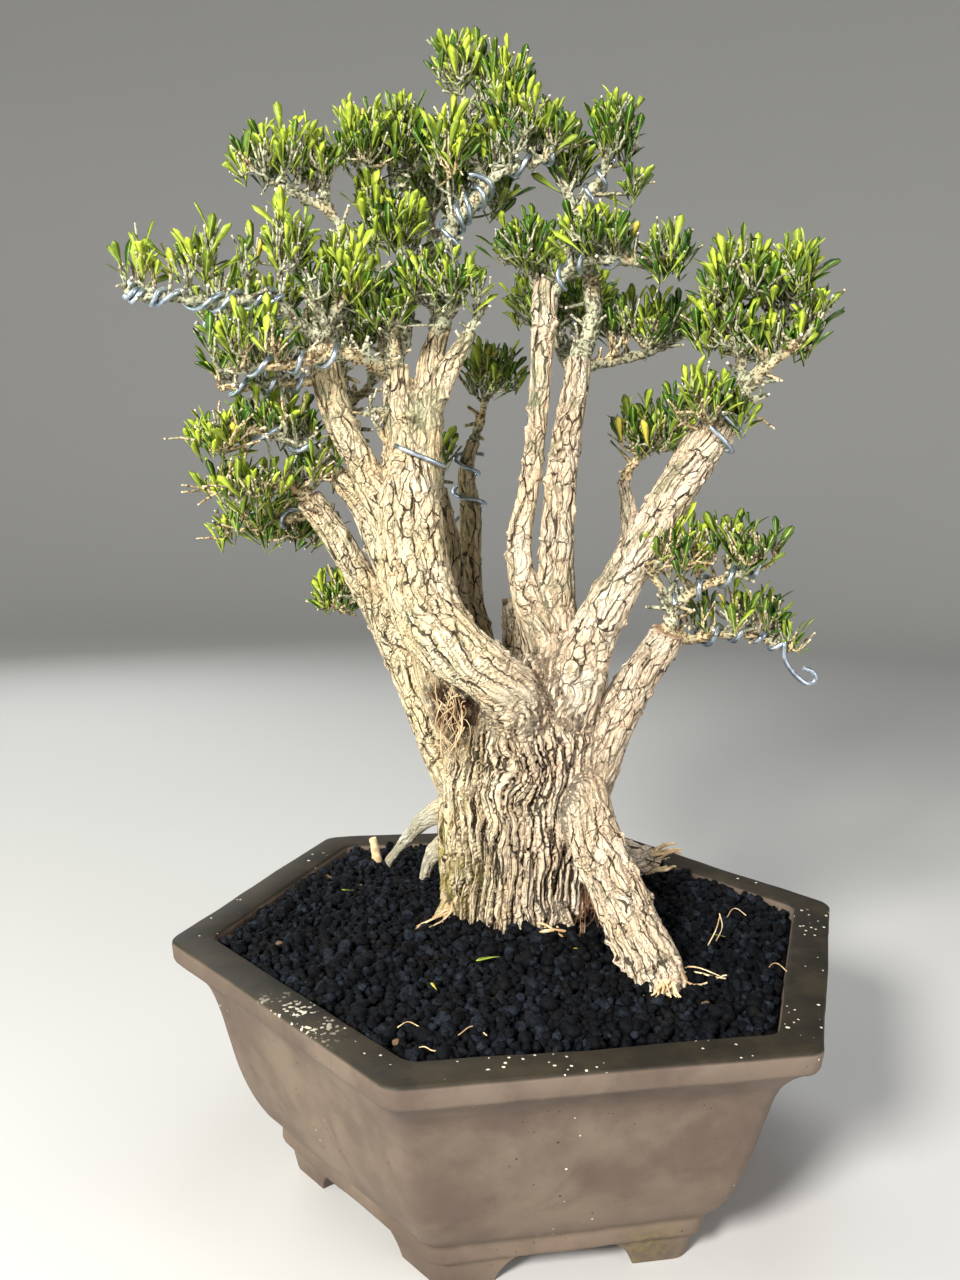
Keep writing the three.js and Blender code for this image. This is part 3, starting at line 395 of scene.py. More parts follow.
def stoneware():
    material, tree, place = new_material("stoneware")
    body, cloud = mottle(tree, place, 20.0, colour(90, 77, 68), colour(110, 97, 85))
    # Salts leave paler tide marks low on the walls
    height = axis(tree, place, "Z")
    low = ease(tree, height, RIM_CENTRE.z - 0.05, RIM_CENTRE.z - 0.12)
    streaks = tangle(tree, place, 9.0, 6.0)
    salt = times(tree, low, ease(tree, streaks, 0.4, 0.68))
    body = blend(tree, times(tree, salt, 0.75), body, colour(124, 108, 92))
    # Thumbed and water-marked shadows in the clay
    smear = tangle(tree, place, 34.0, 5.0, Distortion=1.2)
    body = blend(tree, ramp(tree, smear, 0.52, 0.7, 0.28), body, colour(66, 54, 47))
    # The lip's top is worn to olive brown and carries most of the lime
    top = ease(tree, height, RIM_CENTRE.z - 0.0022, RIM_CENTRE.z - 0.0008)
    lip, _ = mottle(tree, place, 40.0, colour(34, 31, 24), colour(52, 46, 34))
    body = blend(tree, top, body, lip)
    splash = times(tree, near_spot(tree, place, (-96, -123, 0), 34), top)
    lime_body = speckle(tree, place, 150.0, 0.03, 12.0, 0.44)
    lime_top = times(tree, speckle(tree, place, 230.0, 0.08, 22.0, 0.43), top)
    lime_splash = times(tree, speckle(tree, place, 380.0, 0.2, 110.0, 0.5), splash)
    lime = most(tree, lime_body, most(tree, lime_top, lime_splash))
    body = blend(tree, lime, body, colour(218, 210, 190))
    holes = speckle(tree, place, 260.0, 0.05, 18.0, 0.44)
    body = blend(tree, times(tree, holes, 0.8), body, colour(46, 36, 31))
    # Moss and dirt in the front right foot
    dirt = times(tree, near_spot(tree, place, (66, -100, -124), 26), ease(tree, streaks, 0.35, 0.6))
    moss, _ = mottle(tree, place, 240.0, colour(60, 52, 34), colour(120, 114, 52))
    body = blend(tree, times(tree, dirt, 0.9), body, moss)
    relief = maths(tree, "MULTIPLY", tangle(tree, place, 900.0, 4.0), 0.35)
    relief = maths(tree, "ADD", relief, tangle(tree, place, 150.0, 6.0))
    relief = maths(tree, "SUBTRACT", relief, holes)
    relief = maths(tree, "ADD", relief, lime)
    surface(tree, body, [cloud, 0.5, 0.78], [relief, 0.35, 0.0006], shine=0.3)
    return material


STONEWARE = stoneware()
shell = holder_of("shell", pot_shell())
hole = drill()
cut(shell, hole)
pot = bmesh.new()
pot.from_mesh(settled_mesh(shell))
bpy.data.objects.remove(hole)
pot.from_mesh(pot_feet())
finished("pot_clay", mesh_of(pot, "pot_clay"), [STONEWARE], ["pot"],
         sharp_angle=SHARP_EDGE)

# Drain screen: a square of moulded plastic mesh that keeps the soil over the drain hole. It
# shows only through the hole, so it keeps its solid and gets its own dark green plastic.


def screen_plastic():
    material, tree, place = new_material("screen_plastic")
    body, cloud = mottle(tree, place, 60.0, colour(28, 50, 38), colour(44, 70, 54))
    weave = node(tree, "TexWave", {"Vector": place, "Scale": 260.0, "Distortion": 0.6})
    surface(tree, body, [cloud, 0.45, 0.7], [weave, 0.3, 0.0004])
    return material


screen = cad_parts["drain_screen"]
screen.data.materials.clear()
screen.data.materials.append(screen_plastic())

# Soil: sifted black volcanic granules, poured round the roots and heaped a little towards the
# trunk. A bed of them lies under two loose layers whose granules are all separate.
SOIL_DROP = 5
SOIL_MOUND = 9
BED_DEPTH = 2.6
GRANULE_PITCH = 4.5
UPPER_GRANULES = 1500
FRONT_LIMIT = -35
SOIL_CORNER = 157.5
SOIL_FLOOR_CORNER = 115
SOIL_CLEARANCE = 0.8
BED_CUTS = 15
# Low waves in the soil: their height and length
SOIL_WAVE = [1.6, 26]
SHAPES_OF_GRANULE = 7
GRANULE_LUMP = [0.38, 2.9]
GRANULE_CHIP = [0.32, 7.1]
GRANULE_SQUASH = (1.14, 0.96, 0.86)
JITTER = 1.4
# Sizes of the granules that lie close, from and to, and of the loose ones over them
CLOSE_SIZES = (4.2, 5.6)
LOOSE_SIZES = (2.8, 3.6, 4.2, 4.8, 5.4, 6.6, 7.8)
TAN_SHARE = 0.004


def soil_height(x, y):
    edge = min(1, math.hypot(x, y) / SOIL_CORNER)
    hollows = noise.noise(Vector((x, y, 0)) / SOIL_WAVE[1]) * SOIL_WAVE[0]
    return SOIL_MOUND * (1 - edge * edge) - SOIL_DROP + hollows


def inside_pot(x, y, margin):
    """Whether a spot lies within the six inner walls at the soil's height"""
    flat = SOIL_CORNER * math.cos(math.pi / 6) - margin
    for side in range(6):
        angle = POT_TURN + (side + 0.5) * math.pi / 3
        if x * math.cos(angle) + y * math.sin(angle) > flat:
            return False
    return True


def soil_bed():
    floor = -POT_HEIGHT + FOOT_HEIGHT + FLOOR_THICKNESS
    bm = bmesh.new()
    turn = Matrix.Rotation(POT_TURN - math.pi / 2, 4, "Z")
    bmesh.ops.create_circle(bm, cap_ends=True, cap_tris=True, segments=6,
                            radius=SOIL_CORNER - SOIL_CLEARANCE, matrix=turn)
    bmesh.ops.subdivide_edges(bm, edges=bm.edges, cuts=BED_CUTS, use_grid_fill=True)
    top = list(bm.verts)
    made = bmesh.ops.extrude_face_region(bm, geom=list(bm.faces))
    low = [item for item in made["geom"] if isinstance(item, bmesh.types.BMVert)]
    for vert in low:
        vert.co.z = floor + 0.4
        vert.co.xy *= SOIL_FLOOR_CORNER / SOIL_CORNER
    for vert in top:
        vert.co.z = soil_height(vert.co.x, vert.co.y) - BED_DEPTH
    bmesh.ops.recalc_face_normals(bm, faces=bm.faces)
    return mesh_of(bm, "soil_bed")


def granule_shapes(subdivisions, seed):
    """A few broken, rounded stones of about one millimetre, as patterns"""
    shapes = []
    for k in range(SHAPES_OF_GRANULE):
        bm = bmesh.new()
        bmesh.ops.create_icosphere(bm, subdivisions=subdivisions, radius=0.5)
        for vert in bm.verts:
            lump = noise.noise(vert.co * GRANULE_LUMP[1] + Vector((k * 7.3, seed, 0)))
            chip = noise.noise(vert.co * GRANULE_CHIP[1] + Vector((seed, k * 3.7, 0)))
            vert.co *= 1 + GRANULE_LUMP[0] * lump + GRANULE_CHIP[0] * chip
        bmesh.ops.scale(bm, verts=bm.verts, vec=GRANULE_SQUASH)
        shapes.append(mesh_of(bm, "granule"))
    return shapes


def toned_copy(shape, matrix, tone):
    """A copy of a small pattern mesh, placed, with one tone for its material to read"""
    copy = shape.copy()
    copy.transform(matrix)
    values = copy.attributes.new("tone", "FLOAT", "POINT")
    values.data.foreach_set("value", [tone] * len(copy.vertices))
    return copy


def add_copy(bm, shape, matrix, tone):
    copy = toned_copy(shape, matrix, tone)
    bm.from_mesh(copy)
    bpy.data.meshes.remove(copy)


def granule_spots(draw):
    """Places for the granules: a jittered lattice, and a loose layer strewn over it"""
    rows = int(SOIL_CORNER / (GRANULE_PITCH * math.sqrt(0.75))) + 1
    for row in range(-rows, rows + 1):
        for step in range(-rows - 2, rows + 3):
            x = (step + 0.5 * (row % 2)) * GRANULE_PITCH + draw.uniform(-JITTER, JITTER)
            y = row * GRANULE_PITCH * math.sqrt(0.75) + draw.uniform(-JITTER, JITTER)
            if inside_pot(x, y, 2.2):
                yield x, y, draw.uniform(-1.1, 0.5), draw.uniform(*CLOSE_SIZES)
    for _ in range(UPPER_GRANULES):
        x, y = draw.uniform(-SOIL_CORNER, SOIL_CORNER), draw.uniform(-SOIL_CORNER, SOIL_CORNER)
        if inside_pot(x, y, 4):
            yield x, y, draw.uniform(1.0, 2.6), draw.choice(LOOSE_SIZES)


def granules():
    draw = random.Random(5)
    front, back = bmesh.new(), bmesh.new()
    fine, coarse = granule_shapes(2, 3.1), granule_shapes(1, 8.4)
    for x, y, lift, size in granule_spots(draw):
        turn = Matrix.Rotation(draw.uniform(0, 6.28), 4,
                               (draw.uniform(-1, 1), draw.uniform(-1, 1), 1.1))
        spot = Vector((x, y, soil_height(x, y) + lift))
        matrix = Matrix.Translation(spot) @ turn @ Matrix.Scale(size, 4)
        near = y < FRONT_LIMIT
        tan = draw.random() < TAN_SHARE
        tone = draw.uniform(0.9, 1.0) if tan else draw.uniform(0.0, 0.7)
        add_copy(front if near else back, draw.choice(fine if near else coarse), matrix, tone)
    return front, back


def volcanic_rock():
    material, tree, place = new_material("volcanic_rock")
    tone = attribute(tree, "tone")
    # Near-black stone; the blue cast of both colour pairs is a painted tint standing in for the bluish
    # sheen on the granules
    dark, cloud = mottle(tree, place, 420.0, colour(2, 3, 5), colour(12, 16, 22))
    pale, _ = mottle(tree, place, 420.0, colour(12, 15, 20), colour(40, 46, 55))
    body = blend(tree, ease(tree, tone, 0.35, 0.75), dark, pale)
    body = blend(tree, ease(tree, tone, 0.82, 0.9), body, colour(104, 84, 66))
    dust = ease(tree, tangle(tree, place, 90.0, 4.0), 0.55, 0.8)
    body = blend(tree, times(tree, dust, 0.06), body, colour(110, 98, 84))
    pores = node(tree, "TexVoronoi", {"Vector": place, "Scale": 1300.0})
    relief = maths(tree, "ADD", pores, tangle(tree, place, 1500.0, 4.0))
    surface(tree, body, [cloud, 0.55, 0.85], [relief, 0.7, 0.0004], shine=0.12)
    return material


ROCK = volcanic_rock()
finished("soil_bed", soil_bed(), [ROCK], ["soil"], smooth=False)
front_layer, back_layer = granules()
finished("soil_granules_front", mesh_of(front_layer, "front"), [ROCK])
finished("soil_granules_back", mesh_of(back_layer, "back"), [ROCK], smooth=False)

# Trunk: the stump, its roots and its limbs, which grew as one. The bark is pale cork: long wavy
# strands with deep brown cracks on the stump, and shorter plates on the limbs. Where limbs were
# sawn off, the flat ends show weathered wood.
COLUMN_DEPTH_RATIO = 0.88
# Stations of [x, y, z, radius] along each limb or root
LIMBS = {
    "column": [[-3, 10, -13, 38], [-3, 10, -5, 40], [-3, 10, 19, 40], [-3, 9, 46, 41.5],
        [-3, 8, 66, 41], [-3, 6, 86, 42], [-3, 4, 104, 41], [-4, 2, 119, 33], [-2, 0, 131, 20]],
    "shoulder": [[-12, 0, 70, 20], [-28, -4, 100, 17], [-44, -6, 124, 12], [-54, -8, 142, 7]],
    "prop_root": [[12, 0, 88, 16], [27, -10, 74, 15], [34, -20, 57, 13.8], [45, -34, 36, 13.3],
        [55, -50, 17, 13.8], [63, -64, 4, 14.4], [67, -73, -6, 12.5], [69, -78, -18, 9]],
    "left_back_root": [[-26, 30, 52, 14], [-42, 40, 47, 8.8], [-54, 47, 40, 5.8], [-65, 56, 27, 4],
        [-75, 65, 12, 3], [-80, 71, 3, 3.2], [-82, 76, -12, 2.4]],
    "left_back_spur": [[-30, 26, 36, 10], [-47, 40, 24, 6], [-55, 49, 8, 3.6], [-57, 53, -10, 3]],
    "broken_root": [[22, 24, 40, 12], [46, 44, 27, 9.5], [64, 60, 17, 8.5], [76, 70, 11, 7.5]],
    "front_left_root": [[-30, 0, 18, 7], [-40, -8, 7, 3.6], [-46, -13, -1, 2.5], [-51, -17, -10, 2]],
    "front_right_root": [[17, -14, 16, 6], [26, -22, 5, 2.6], [31, -27, -9, 1.8]],
    "limb_a": [[2, 2, 84, 14], [-1, -12, 106, 17], [-8, -22, 122, 17], [-19, -30, 134, 16.4],
        [-32, -32, 144, 16.3], [-47, -27, 159, 17.2], [-57, -22, 183, 17.2], [-61, -20, 210, 16.7],
        [-61, -18, 234, 13], [-61, -17, 250, 6]],
    "limb_a_left": [[-62, -19, 206, 12], [-64, -18, 230, 11], [-66, -17, 250, 8.6],
        [-68, -16, 268, 7.5], [-70, -14, 284, 6.5]],
    "limb_a_right": [[-58, -18, 206, 12], [-57, -17, 232, 11], [-55, -14, 254, 8.8],
        [-54, -11, 270, 8], [-53, -8, 288, 6.4], [-49, -6, 303, 5]],
    "limb_a_fork": [[-57, -17, 236, 8], [-54, -14, 258, 6.8], [-47, -13, 276, 5.8],
        [-39, -15, 291, 4.6], [-33, -17, 301, 3.2]],
    "limb_b": [[-26, 8, 58, 14], [-42, 8, 88, 13.2], [-57, 6, 121, 11.5], [-68, 4, 144, 9.9],
        [-84, 0, 173, 8.2], [-95, -6, 193, 7.3], [-112, -14, 219, 6.6]],
    "limb_c": [[-38, 0, 126, 12], [-53, -6, 149, 10.2], [-67, -8, 174, 8.1], [-78, -10, 199, 7.1],
        [-85, -14, 216, 6.6], [-96, -18, 231, 6]],
    "limb_d": [[-50, -12, 150, 12], [-61, -12, 174, 11], [-72, -16, 207, 8.6], [-83, -20, 233, 7.5],
        [-94, -24, 254, 7.4], [-100, -28, 273, 7.6], [-103, -30, 291, 7.1]],
    "limb_e": [[-18, 26, 98, 13], [-27, 40, 142, 8], [-33, 46, 165, 6.8], [-35, 48, 192, 6.6],
        [-35, 48, 214, 6], [-38, 46, 236, 4.4], [-34, 44, 252, 3.6]],
    "stub_e": [[-32, 20, 122, 11], [-41, 28, 161, 8.1], [-44, 30, 188, 7], [-48, 32, 209, 5.9],
        [-51, 34, 226, 4]],
    "neck": [[6, 2, 98, 24], [12, -2, 126, 18], [14, -2, 147, 15.5], [13, -2, 156, 11]],
    "limb_f": [[11, -4, 136, 11], [3, -6, 158, 8.6], [-2, -6, 172, 7.8], [-6, -6, 187, 6.5],
        [-7, -5, 203, 6], [-3, -3, 226, 5], [0, 0, 261, 5], [1, 2, 290, 5.5], [2, 4, 319, 6.4],
        [2, 4, 330, 5.9]],
    "limb_g": [[16, 0, 138, 12], [13, -2, 171, 9.7], [12, -2, 201, 8.6], [13, 0, 231, 7.8],
        [16, 2, 261, 7], [19, 4, 281, 6.5], [20, 5, 292, 5.6]],
    "limb_h": [[10, -4, 90, 18], [19, -8, 115, 15.5], [30, -16, 153, 12.4], [43, -22, 181, 10.4],
        [56, -26, 208, 9.8], [69, -30, 232, 9.8], [79, -32, 249, 9.9], [89, -34, 263, 8.4],
        [94, -36, 272, 5.6]],
    "limb_i": [[14, 4, 50, 20], [29, 0, 74, 16], [43, -4, 108, 12], [55, -10, 133, 9.8],
        [65, -16, 151, 9], [68, -18, 159, 8.4]],
    "limb_j": [[18, 24, 82, 14], [34, 36, 113, 8.4], [37, 40, 140, 7.2], [42, 46, 170, 6.2],
        [52, 52, 198, 5.2], [51, 54, 220, 4.2], [48, 54, 233, 3.4]],
    "stub_k": [[-2, 26, 104, 11], [-8, 44, 132, 7], [-10, 50, 154, 5.8], [-11, 52, 166, 5.6]],
}
# The stump with the thick limbs and roots that swell out of it, and the thinner limbs that
# stand on it, are two meshes, so that each can be fine
STUMP = ["column", "shoulder", "prop_root", "left_back_root", "left_back_spur", "broken_root",
         "front_left_root", "front_right_root", "limb_a", "neck", "limb_h", "limb_i"]
STUMP_CELL = 1.2
SMOOTH_PASSES = 5
LIMB_CELL = 1.05
# Over how many millimetres the bark of one limb runs into that of the next
LIMB_BLEND = 9.0
# The cracks round strands and round plates: how wide and how long these are, the seed, and how
# far the wide and the fine cracks are shut
STRAND_NET = (5.8, 52, 3, 0.6, 1.1)
PLATE_NET = (9.0, 17, 8, 0.95, 1.35)
FINE_SHARE = (0.52, 0.55)
# How far the grain sways, and over what lengths
SWAYS = [[4.6, 26], [1.5, 8]]
# How fibrous the bark is where a limb starts, and over how many millimetres that fades
FIBROUS = {"column": [2, 400], "shoulder": [1.5, 60], "prop_root": [1.05, 42],
           "limb_i": [1.2, 60], "limb_a": [1.15, 60], "neck": [1.5, 46], "limb_h": [1.1, 46]}
# Flutes down the stump: their height as a share of its radius, their width and length
FLUTES = [0.06, 13, 90]
# Knobs on the limbs: their height, their spacing, and how much noise stays below them
KNOBS = [6.5, 6.5, 0.36]
# Two surface roots at the back left are bare of bark
BALD = ["left_back_root", "left_back_spur"]


def smooth_route(stations, spacing):
    """[place, radius] pairs about a spacing apart on a smooth line through the stations"""
    spots = [Vector(row[:3]) for row in stations]
    route = [(spots[0], stations[0][3])]
    for i, curve in enumerate(stretches(spots, spacing=spacing)):
        for k in range(1, len(curve)):
            share = k / (len(curve) - 1)
            route.append((curve[k], stations[i][3] * (1 - share) + stations[i + 1][3] * share))
    return route


def tubes(name, routes, sides):
    """Round closed tubes along routes of [place, radius] pairs, as one mesh"""
    line = bpy.data.curves.new(name, "CURVE")
    line.dimensions = "3D"
    line.bevel_depth = 1.0
    line.bevel_resolution = max(0, (sides - 4) // 2)
    line.use_fill_caps = True
    for route in routes:
        spline = line.splines.new("POLY")
        spline.points.add(len(route) - 1)
        for point, (spot, radius) in zip(spline.points, route):
            point.co = (*spot, 1)
            point.radius = radius
    return settled_mesh(holder_of(name, line))


def fused_wood(name, limbs, cell):
    """The limbs' tubes grown into one skin"""
    bm = bmesh.new()
    bm.from_mesh(tubes(name, [ROUTES[limb] for limb in limbs if limb != "column"], 20))
    if "column" in limbs:
        column = tubes("column", [ROUTES["column"]], 32)
        rows = np.array(LIMBS["column"])
        for vert in column.vertices:
            middle = np.interp(vert.co.z, rows[:, 2], rows[:, 1])
            vert.co.y = middle + (vert.co.y - middle) * COLUMN_DEPTH_RATIO
        bm.from_mesh(column)
    holder = holder_of(name, mesh_of(bm, name))
    skin = holder.modifiers.new("skin", "REMESH")
    skin.mode = "VOXEL"
    skin.voxel_size = cell
    return settled_mesh(holder)


ROUTES = {name: smooth_route(stations, 3) for name, stations in LIMBS.items()}


def limb_samples(names):
    """Points along the limbs' middle lines with their radius, directions, run and limb number"""
    parts = {key: [] for key in ("spot", "radius", "ahead", "side", "up", "along", "limb")}
    for number, name in enumerate(names):
        spots = np.array([list(spot) for spot, _ in ROUTES[name]])
        ahead = np.gradient(spots, axis=0)
        ahead /= np.linalg.norm(ahead, axis=1)[:, None]
        steep = abs(spots[-1] - spots[0])[2] > 0.7 * np.linalg.norm(spots[-1] - spots[0])
        side = np.cross(ahead, (0, 1, 0) if steep else (0, 0, -1))
        side /= np.linalg.norm(side, axis=1)[:, None]
        steps = np.linalg.norm(np.diff(spots, axis=0), axis=1)
        parts["spot"].append(spots)
        parts["radius"].append([radius for _, radius in ROUTES[name]])
        parts["ahead"].append(ahead)
        parts["side"].append(side)
        parts["up"].append(np.cross(side, ahead))
        parts["along"].append(np.concatenate([[0], np.cumsum(steps)]))
        parts["limb"].append(np.full(len(spots), number))
    return {key: np.concatenate(rows) for key, rows in parts.items()}


def nearest_samples(samples, spots):
    """For each spot the sample it belongs to, the best one of another limb, and a share"""
    best, second, share = [], [], []
    for start in range(0, len(spots), 3000):
        block = spots[start:start + 3000]
        away = np.linalg.norm(block[:, None] - samples["spot"][None], axis=2)
        score = np.abs(away - samples["radius"][None])
        first = score.argmin(axis=1)
        rows = np.arange(len(block))
        low = score[rows, first]
        score[samples["limb"][first][:, None] == samples["limb"][None]] = 1e6
        other = score.argmin(axis=1)
        best.append(first)
        second.append(other)
        share.append(np.clip(0.5 + (score[rows, other] - low) / LIMB_BLEND, 0, 1))
    return np.concatenate(best), np.concatenate(second), np.concatenate(share)


def grain_place(samples, spots, index):
    """Turns round a limb, millimetres along it, its radius and number, for each spot"""
    away = spots - samples["spot"][index]
    across = [np.einsum("ij,ij->i", away, samples[key][index]) for key in ("side", "up")]
    along = np.einsum("ij,ij->i", away, samples["ahead"][index]) + samples["along"][index]
    # Counted from the back of a limb, or from below it if it lies
    around = np.arctan2(across[0], -across[1]) / (2 * math.pi) + 0.5
    return around, along, samples["radius"][index], samples["limb"][index]


def crack_net(around, along, radius, limb, pitch, cell, seed):
    """A net of cracks round a limb, from cells about a pitch wide and a cell long. Gives the
    distance from the nearest crack in millimetres, how far the crack runs along the limb, how
    open it is, and a tone of the cell's own, the last three from 0 to 1."""
    chance = np.random.RandomState(seed).rand(4096, 3)
    mean = np.array([radius[limb == number].mean() if (limb == number).any() else 1.0
                     for number in range(limb.max() + 1)])
    count = np.maximum(5, np.round(2 * math.pi * mean / pitch))[limb]
    wide = 2 * math.pi * radius / count
    x, y = around * count, along / cell
    column, row = np.floor(x), np.floor(y)
    nearest = [np.full(len(x), 9.0), np.zeros(len(x)), np.zeros(len(x)), np.zeros(len(x))]
    second = [np.full(len(x), 9.0), np.zeros(len(x)), np.zeros(len(x)), np.zeros(len(x))]
    for step in range(9):
        cx, cy = column + step % 3 - 1, row + step // 3 - 1
        key = (np.mod(cx, count) * 73 + cy * 151 + limb * 977 + 40000).astype(int) % 4096
        to_x = cx + 0.5 + 0.8 * (chance[key, 0] - 0.5) - x
        to_y = cy + 0.5 + 0.95 * (chance[key, 1] - 0.5) - y
        found = [to_x ** 2 + to_y ** 2, to_x, to_y, chance[key, 2]]
        closer = found[0] < nearest[0]
        next_closer = ~closer & (found[0] < second[0])
        for k in range(4):
            second[k] = np.where(closer, nearest[k], np.where(next_closer, found[k], second[k]))
            nearest[k] = np.where(closer, found[k], nearest[k])
    between = np.hypot(second[1] - nearest[1], second[2] - nearest[2]) + 1e-6
    lean_x = (second[1] - nearest[1]) / between / wide
    lean_y = (second[2] - nearest[2]) / between / cell
    steep = np.hypot(lean_x, lean_y)
    distance = (second[0] - nearest[0]) / (2 * between) / steep
    return distance, np.abs(lean_x) / steep, np.mod(nearest[3] + second[3], 1), nearest[3]


GRAIN_SEED = 2
# Where the strands whirl round an old wound: its place, reach and twist
SWIRL = [Vector((-5, -34, 81)), 24, 1.3]
# A rotten hollow full of fibres below the big left limb: its place, reach and depth
HOLLOW = [Vector((-38, -31, 118)), 20, 13]


def strand_share(samples, names, index, along):
    """How fibrous the bark is: all of it on the stump, and less and less up a limb"""
    number = samples["limb"][index]
    share = np.clip(0.9 - along / 50, 0, 1)
    for name, (start, fall) in FIBROUS.items():
        if name in names:
            own = number == names.index(name)
            share[own] = np.clip(start - along[own] / fall, 0.0, 1)
    return share


def sway_of(spots):
    """How far the grain wanders at each spot, in millimetres"""
    # Vector noise wanders anew in each run unless it has a seed
    noise.seed_set(GRAIN_SEED)
    swayed = np.empty((len(spots), 3))
    for i, spot in enumerate(spots):
        swayed[i] = sum((noise.noise_vector(Vector(spot) / length) * reach
                         for reach, length in SWAYS), Vector())
    return swayed


def give_bark(mesh, names):
    """Raises the bark's ridges, and keeps what the material reads: grain, cracks and cut ends"""
    samples = limb_samples(names)
    count = len(mesh.vertices)
    spots, normals = np.empty(count * 3), np.empty(count * 3)
    mesh.vertices.foreach_get("co", spots)
    mesh.vertex_normals.foreach_get("vector", normals)
    spots, normals = spots.reshape(-1, 3), normals.reshape(-1, 3)
    best, second, share = nearest_samples(samples, spots)
    sway = sway_of(spots)
    twisted = spots.copy()
    offset = spots - np.array(SWIRL[0])
    near = np.clip(1 - np.linalg.norm(offset, axis=1) / SWIRL[1], 0, 1) ** 1.5 * SWIRL[2]
    twisted[:, 0] += offset[:, 0] * (np.cos(near) - 1) - offset[:, 2] * np.sin(near)
    twisted[:, 2] += offset[:, 2] * (np.cos(near) - 1) + offset[:, 0] * np.sin(near)
    lift, gape, plate, fibrous = [np.zeros(count) for _ in range(4)]
    for index, weight in ((best, share), (second, 1 - share)):
        around, along, radius, limb = grain_place(samples, twisted, index)
        around = around + sway[:, 0] / (2 * math.pi * radius)
        along = along + 2.2 * sway[:, 2]
        strand = strand_share(samples, names, index, along)
        height, open_gape, tone = np.zeros(count), np.zeros(count), np.zeros(count)
        for part, net in ((strand, STRAND_NET), (1 - strand, PLATE_NET)):
            pitch, cell, seed, wide_shut, fine_shut = net
            wide, lengthwise, opened, own = crack_net(around, along, radius, limb, pitch, cell, seed)
            fine, fine_length, fine_open, _ = crack_net(
                around, along, radius, limb, pitch * FINE_SHARE[0], cell * FINE_SHARE[1], seed + 20)
            height += part * (0.78 * np.minimum(1, wide / 1.9) ** 0.6
                              + 0.22 * np.minimum(1, fine / 0.9))
            shut = wide_shut - 0.5 * lengthwise - 0.5 * opened
            fine_shut = fine_shut - 0.35 * fine_length - 0.55 * fine_open
            open_gape += part * np.minimum(wide + shut, fine + fine_shut)
            tone += part * own
        relief = np.minimum(3.3, 0.35 + 0.07 * radius) * (1 + 0.55 * strand)
        lift += weight * relief * (height - 0.78)
        gape += weight * open_gape
        plate += weight * tone
        fibrous += weight * strand
    first_place = grain_place(samples, spots, best)
    high, wide, long = FLUTES
    flutes = np.array([noise.noise(Vector((spot[0] / wide, spot[1] / wide, spot[2] / long)))
                       for spot in spots])
    lift += high * np.minimum(first_place[2], 30) * flutes
    high, wide, below = KNOBS
    knobs = np.array([max(0.0, noise.noise(Vector(spot) / wide) - below) for spot in spots])
    lift += high * knobs * (1 - fibrous)
    hollow = np.clip(1 - np.linalg.norm(spots - np.array(HOLLOW[0]), axis=1) / HOLLOW[1], 0, 1)
    lift -= HOLLOW[2] * hollow ** 1.3
    limb = samples["limb"]
    ends = np.array([ROUTES[name][-1][1] for name in names])[limb[best]]
    lengths = np.array([samples["along"][limb == k].max() for k in range(len(names))])[limb[best]]
    facing = np.einsum("ij,ij->i", normals, samples["ahead"][best])
    bald = np.isin([names[number] for number in limb[best]], BALD)
    lift[bald] *= 0.6
    gape[bald] += 0.8
    cut_end = (first_place[1] > lengths - 1.5) & (facing > 0.75) & (ends > 4)
    lift[cut_end] *= 0.2
    gape[cut_end] += 0.9
    spots += normals * lift[:, None]
    mesh.vertices.foreach_set("co", spots.ravel())
    for name, values in (("crack", gape), ("cut_end", cut_end.astype(float)), ("plate", plate),
                         ("strand", fibrous)):
        mesh.attributes.new(name, "FLOAT", "POINT").data.foreach_set("value", values)
    # The bark rolled out flat, in millimetres round and along each limb
    around, along, _, number = grain_place(samples, twisted, best)
    girth = 2 * math.pi * np.array([samples["radius"][limb == k].mean() for k in range(len(names))])
    rolled = np.stack([around * girth[number] + 190 * number + sway[:, 0], along + 2.2 * sway[:, 2],
                       np.zeros(count)], axis=1)
    mesh.attributes.new("grain", "FLOAT_VECTOR", "POINT").data.foreach_set("vector", rolled.ravel())


def crack_lines(tree, grain, wide, long, closed, gape):
    """Thin cracks round plates of a width and a length, half as wide as gape where they are
    open, all in millimetres, and shut where noise is low"""
    per_millimetre = (1 / wide, 1 / long, 0.0)
    place = node(tree, "Mapping", {"Vector": grain, "Scale": per_millimetre})
    bent = node(tree, "TexNoise", {"Vector": place, "Scale": 1.9, "Detail": 4.0}, output="Color")
    place = node(tree, "VectorMath", {0: bent, 1: (0.7, 0.6, 0.0), 2: place},
                 operation="MULTIPLY_ADD")
    reach, seed = [[node(tree, "TexVoronoi", {"Vector": place, "Scale": 1.0}, output=output,
                         voronoi_dimensions="2D", feature=feature) for feature in ("F1", "F2")]
                   for output in ("Distance", "Position")]
    apart = node(tree, "VectorMath", {0: seed[1], 1: seed[0]}, operation="SUBTRACT")
    apart = node(tree, "VectorMath", {0: apart, 1: per_millimetre}, operation="MULTIPLY")
    steep = node(tree, "VectorMath", {0: apart}, output="Value", operation="LENGTH")
    edge = maths(tree, "SUBTRACT", reach[1], reach[0])
    edge = maths(tree, "MULTIPLY", edge, maths(tree, "ADD", *reach, clamped=True))
    edge = maths(tree, "DIVIDE", edge, times(tree, steep, 2.0))
    width = ramp(tree, tangle(tree, place, 0.9, 3.0), closed, closed + 0.2, gape)
    return ramp(tree, maths(tree, "SUBTRACT", width, edge), -0.04, 0.14)


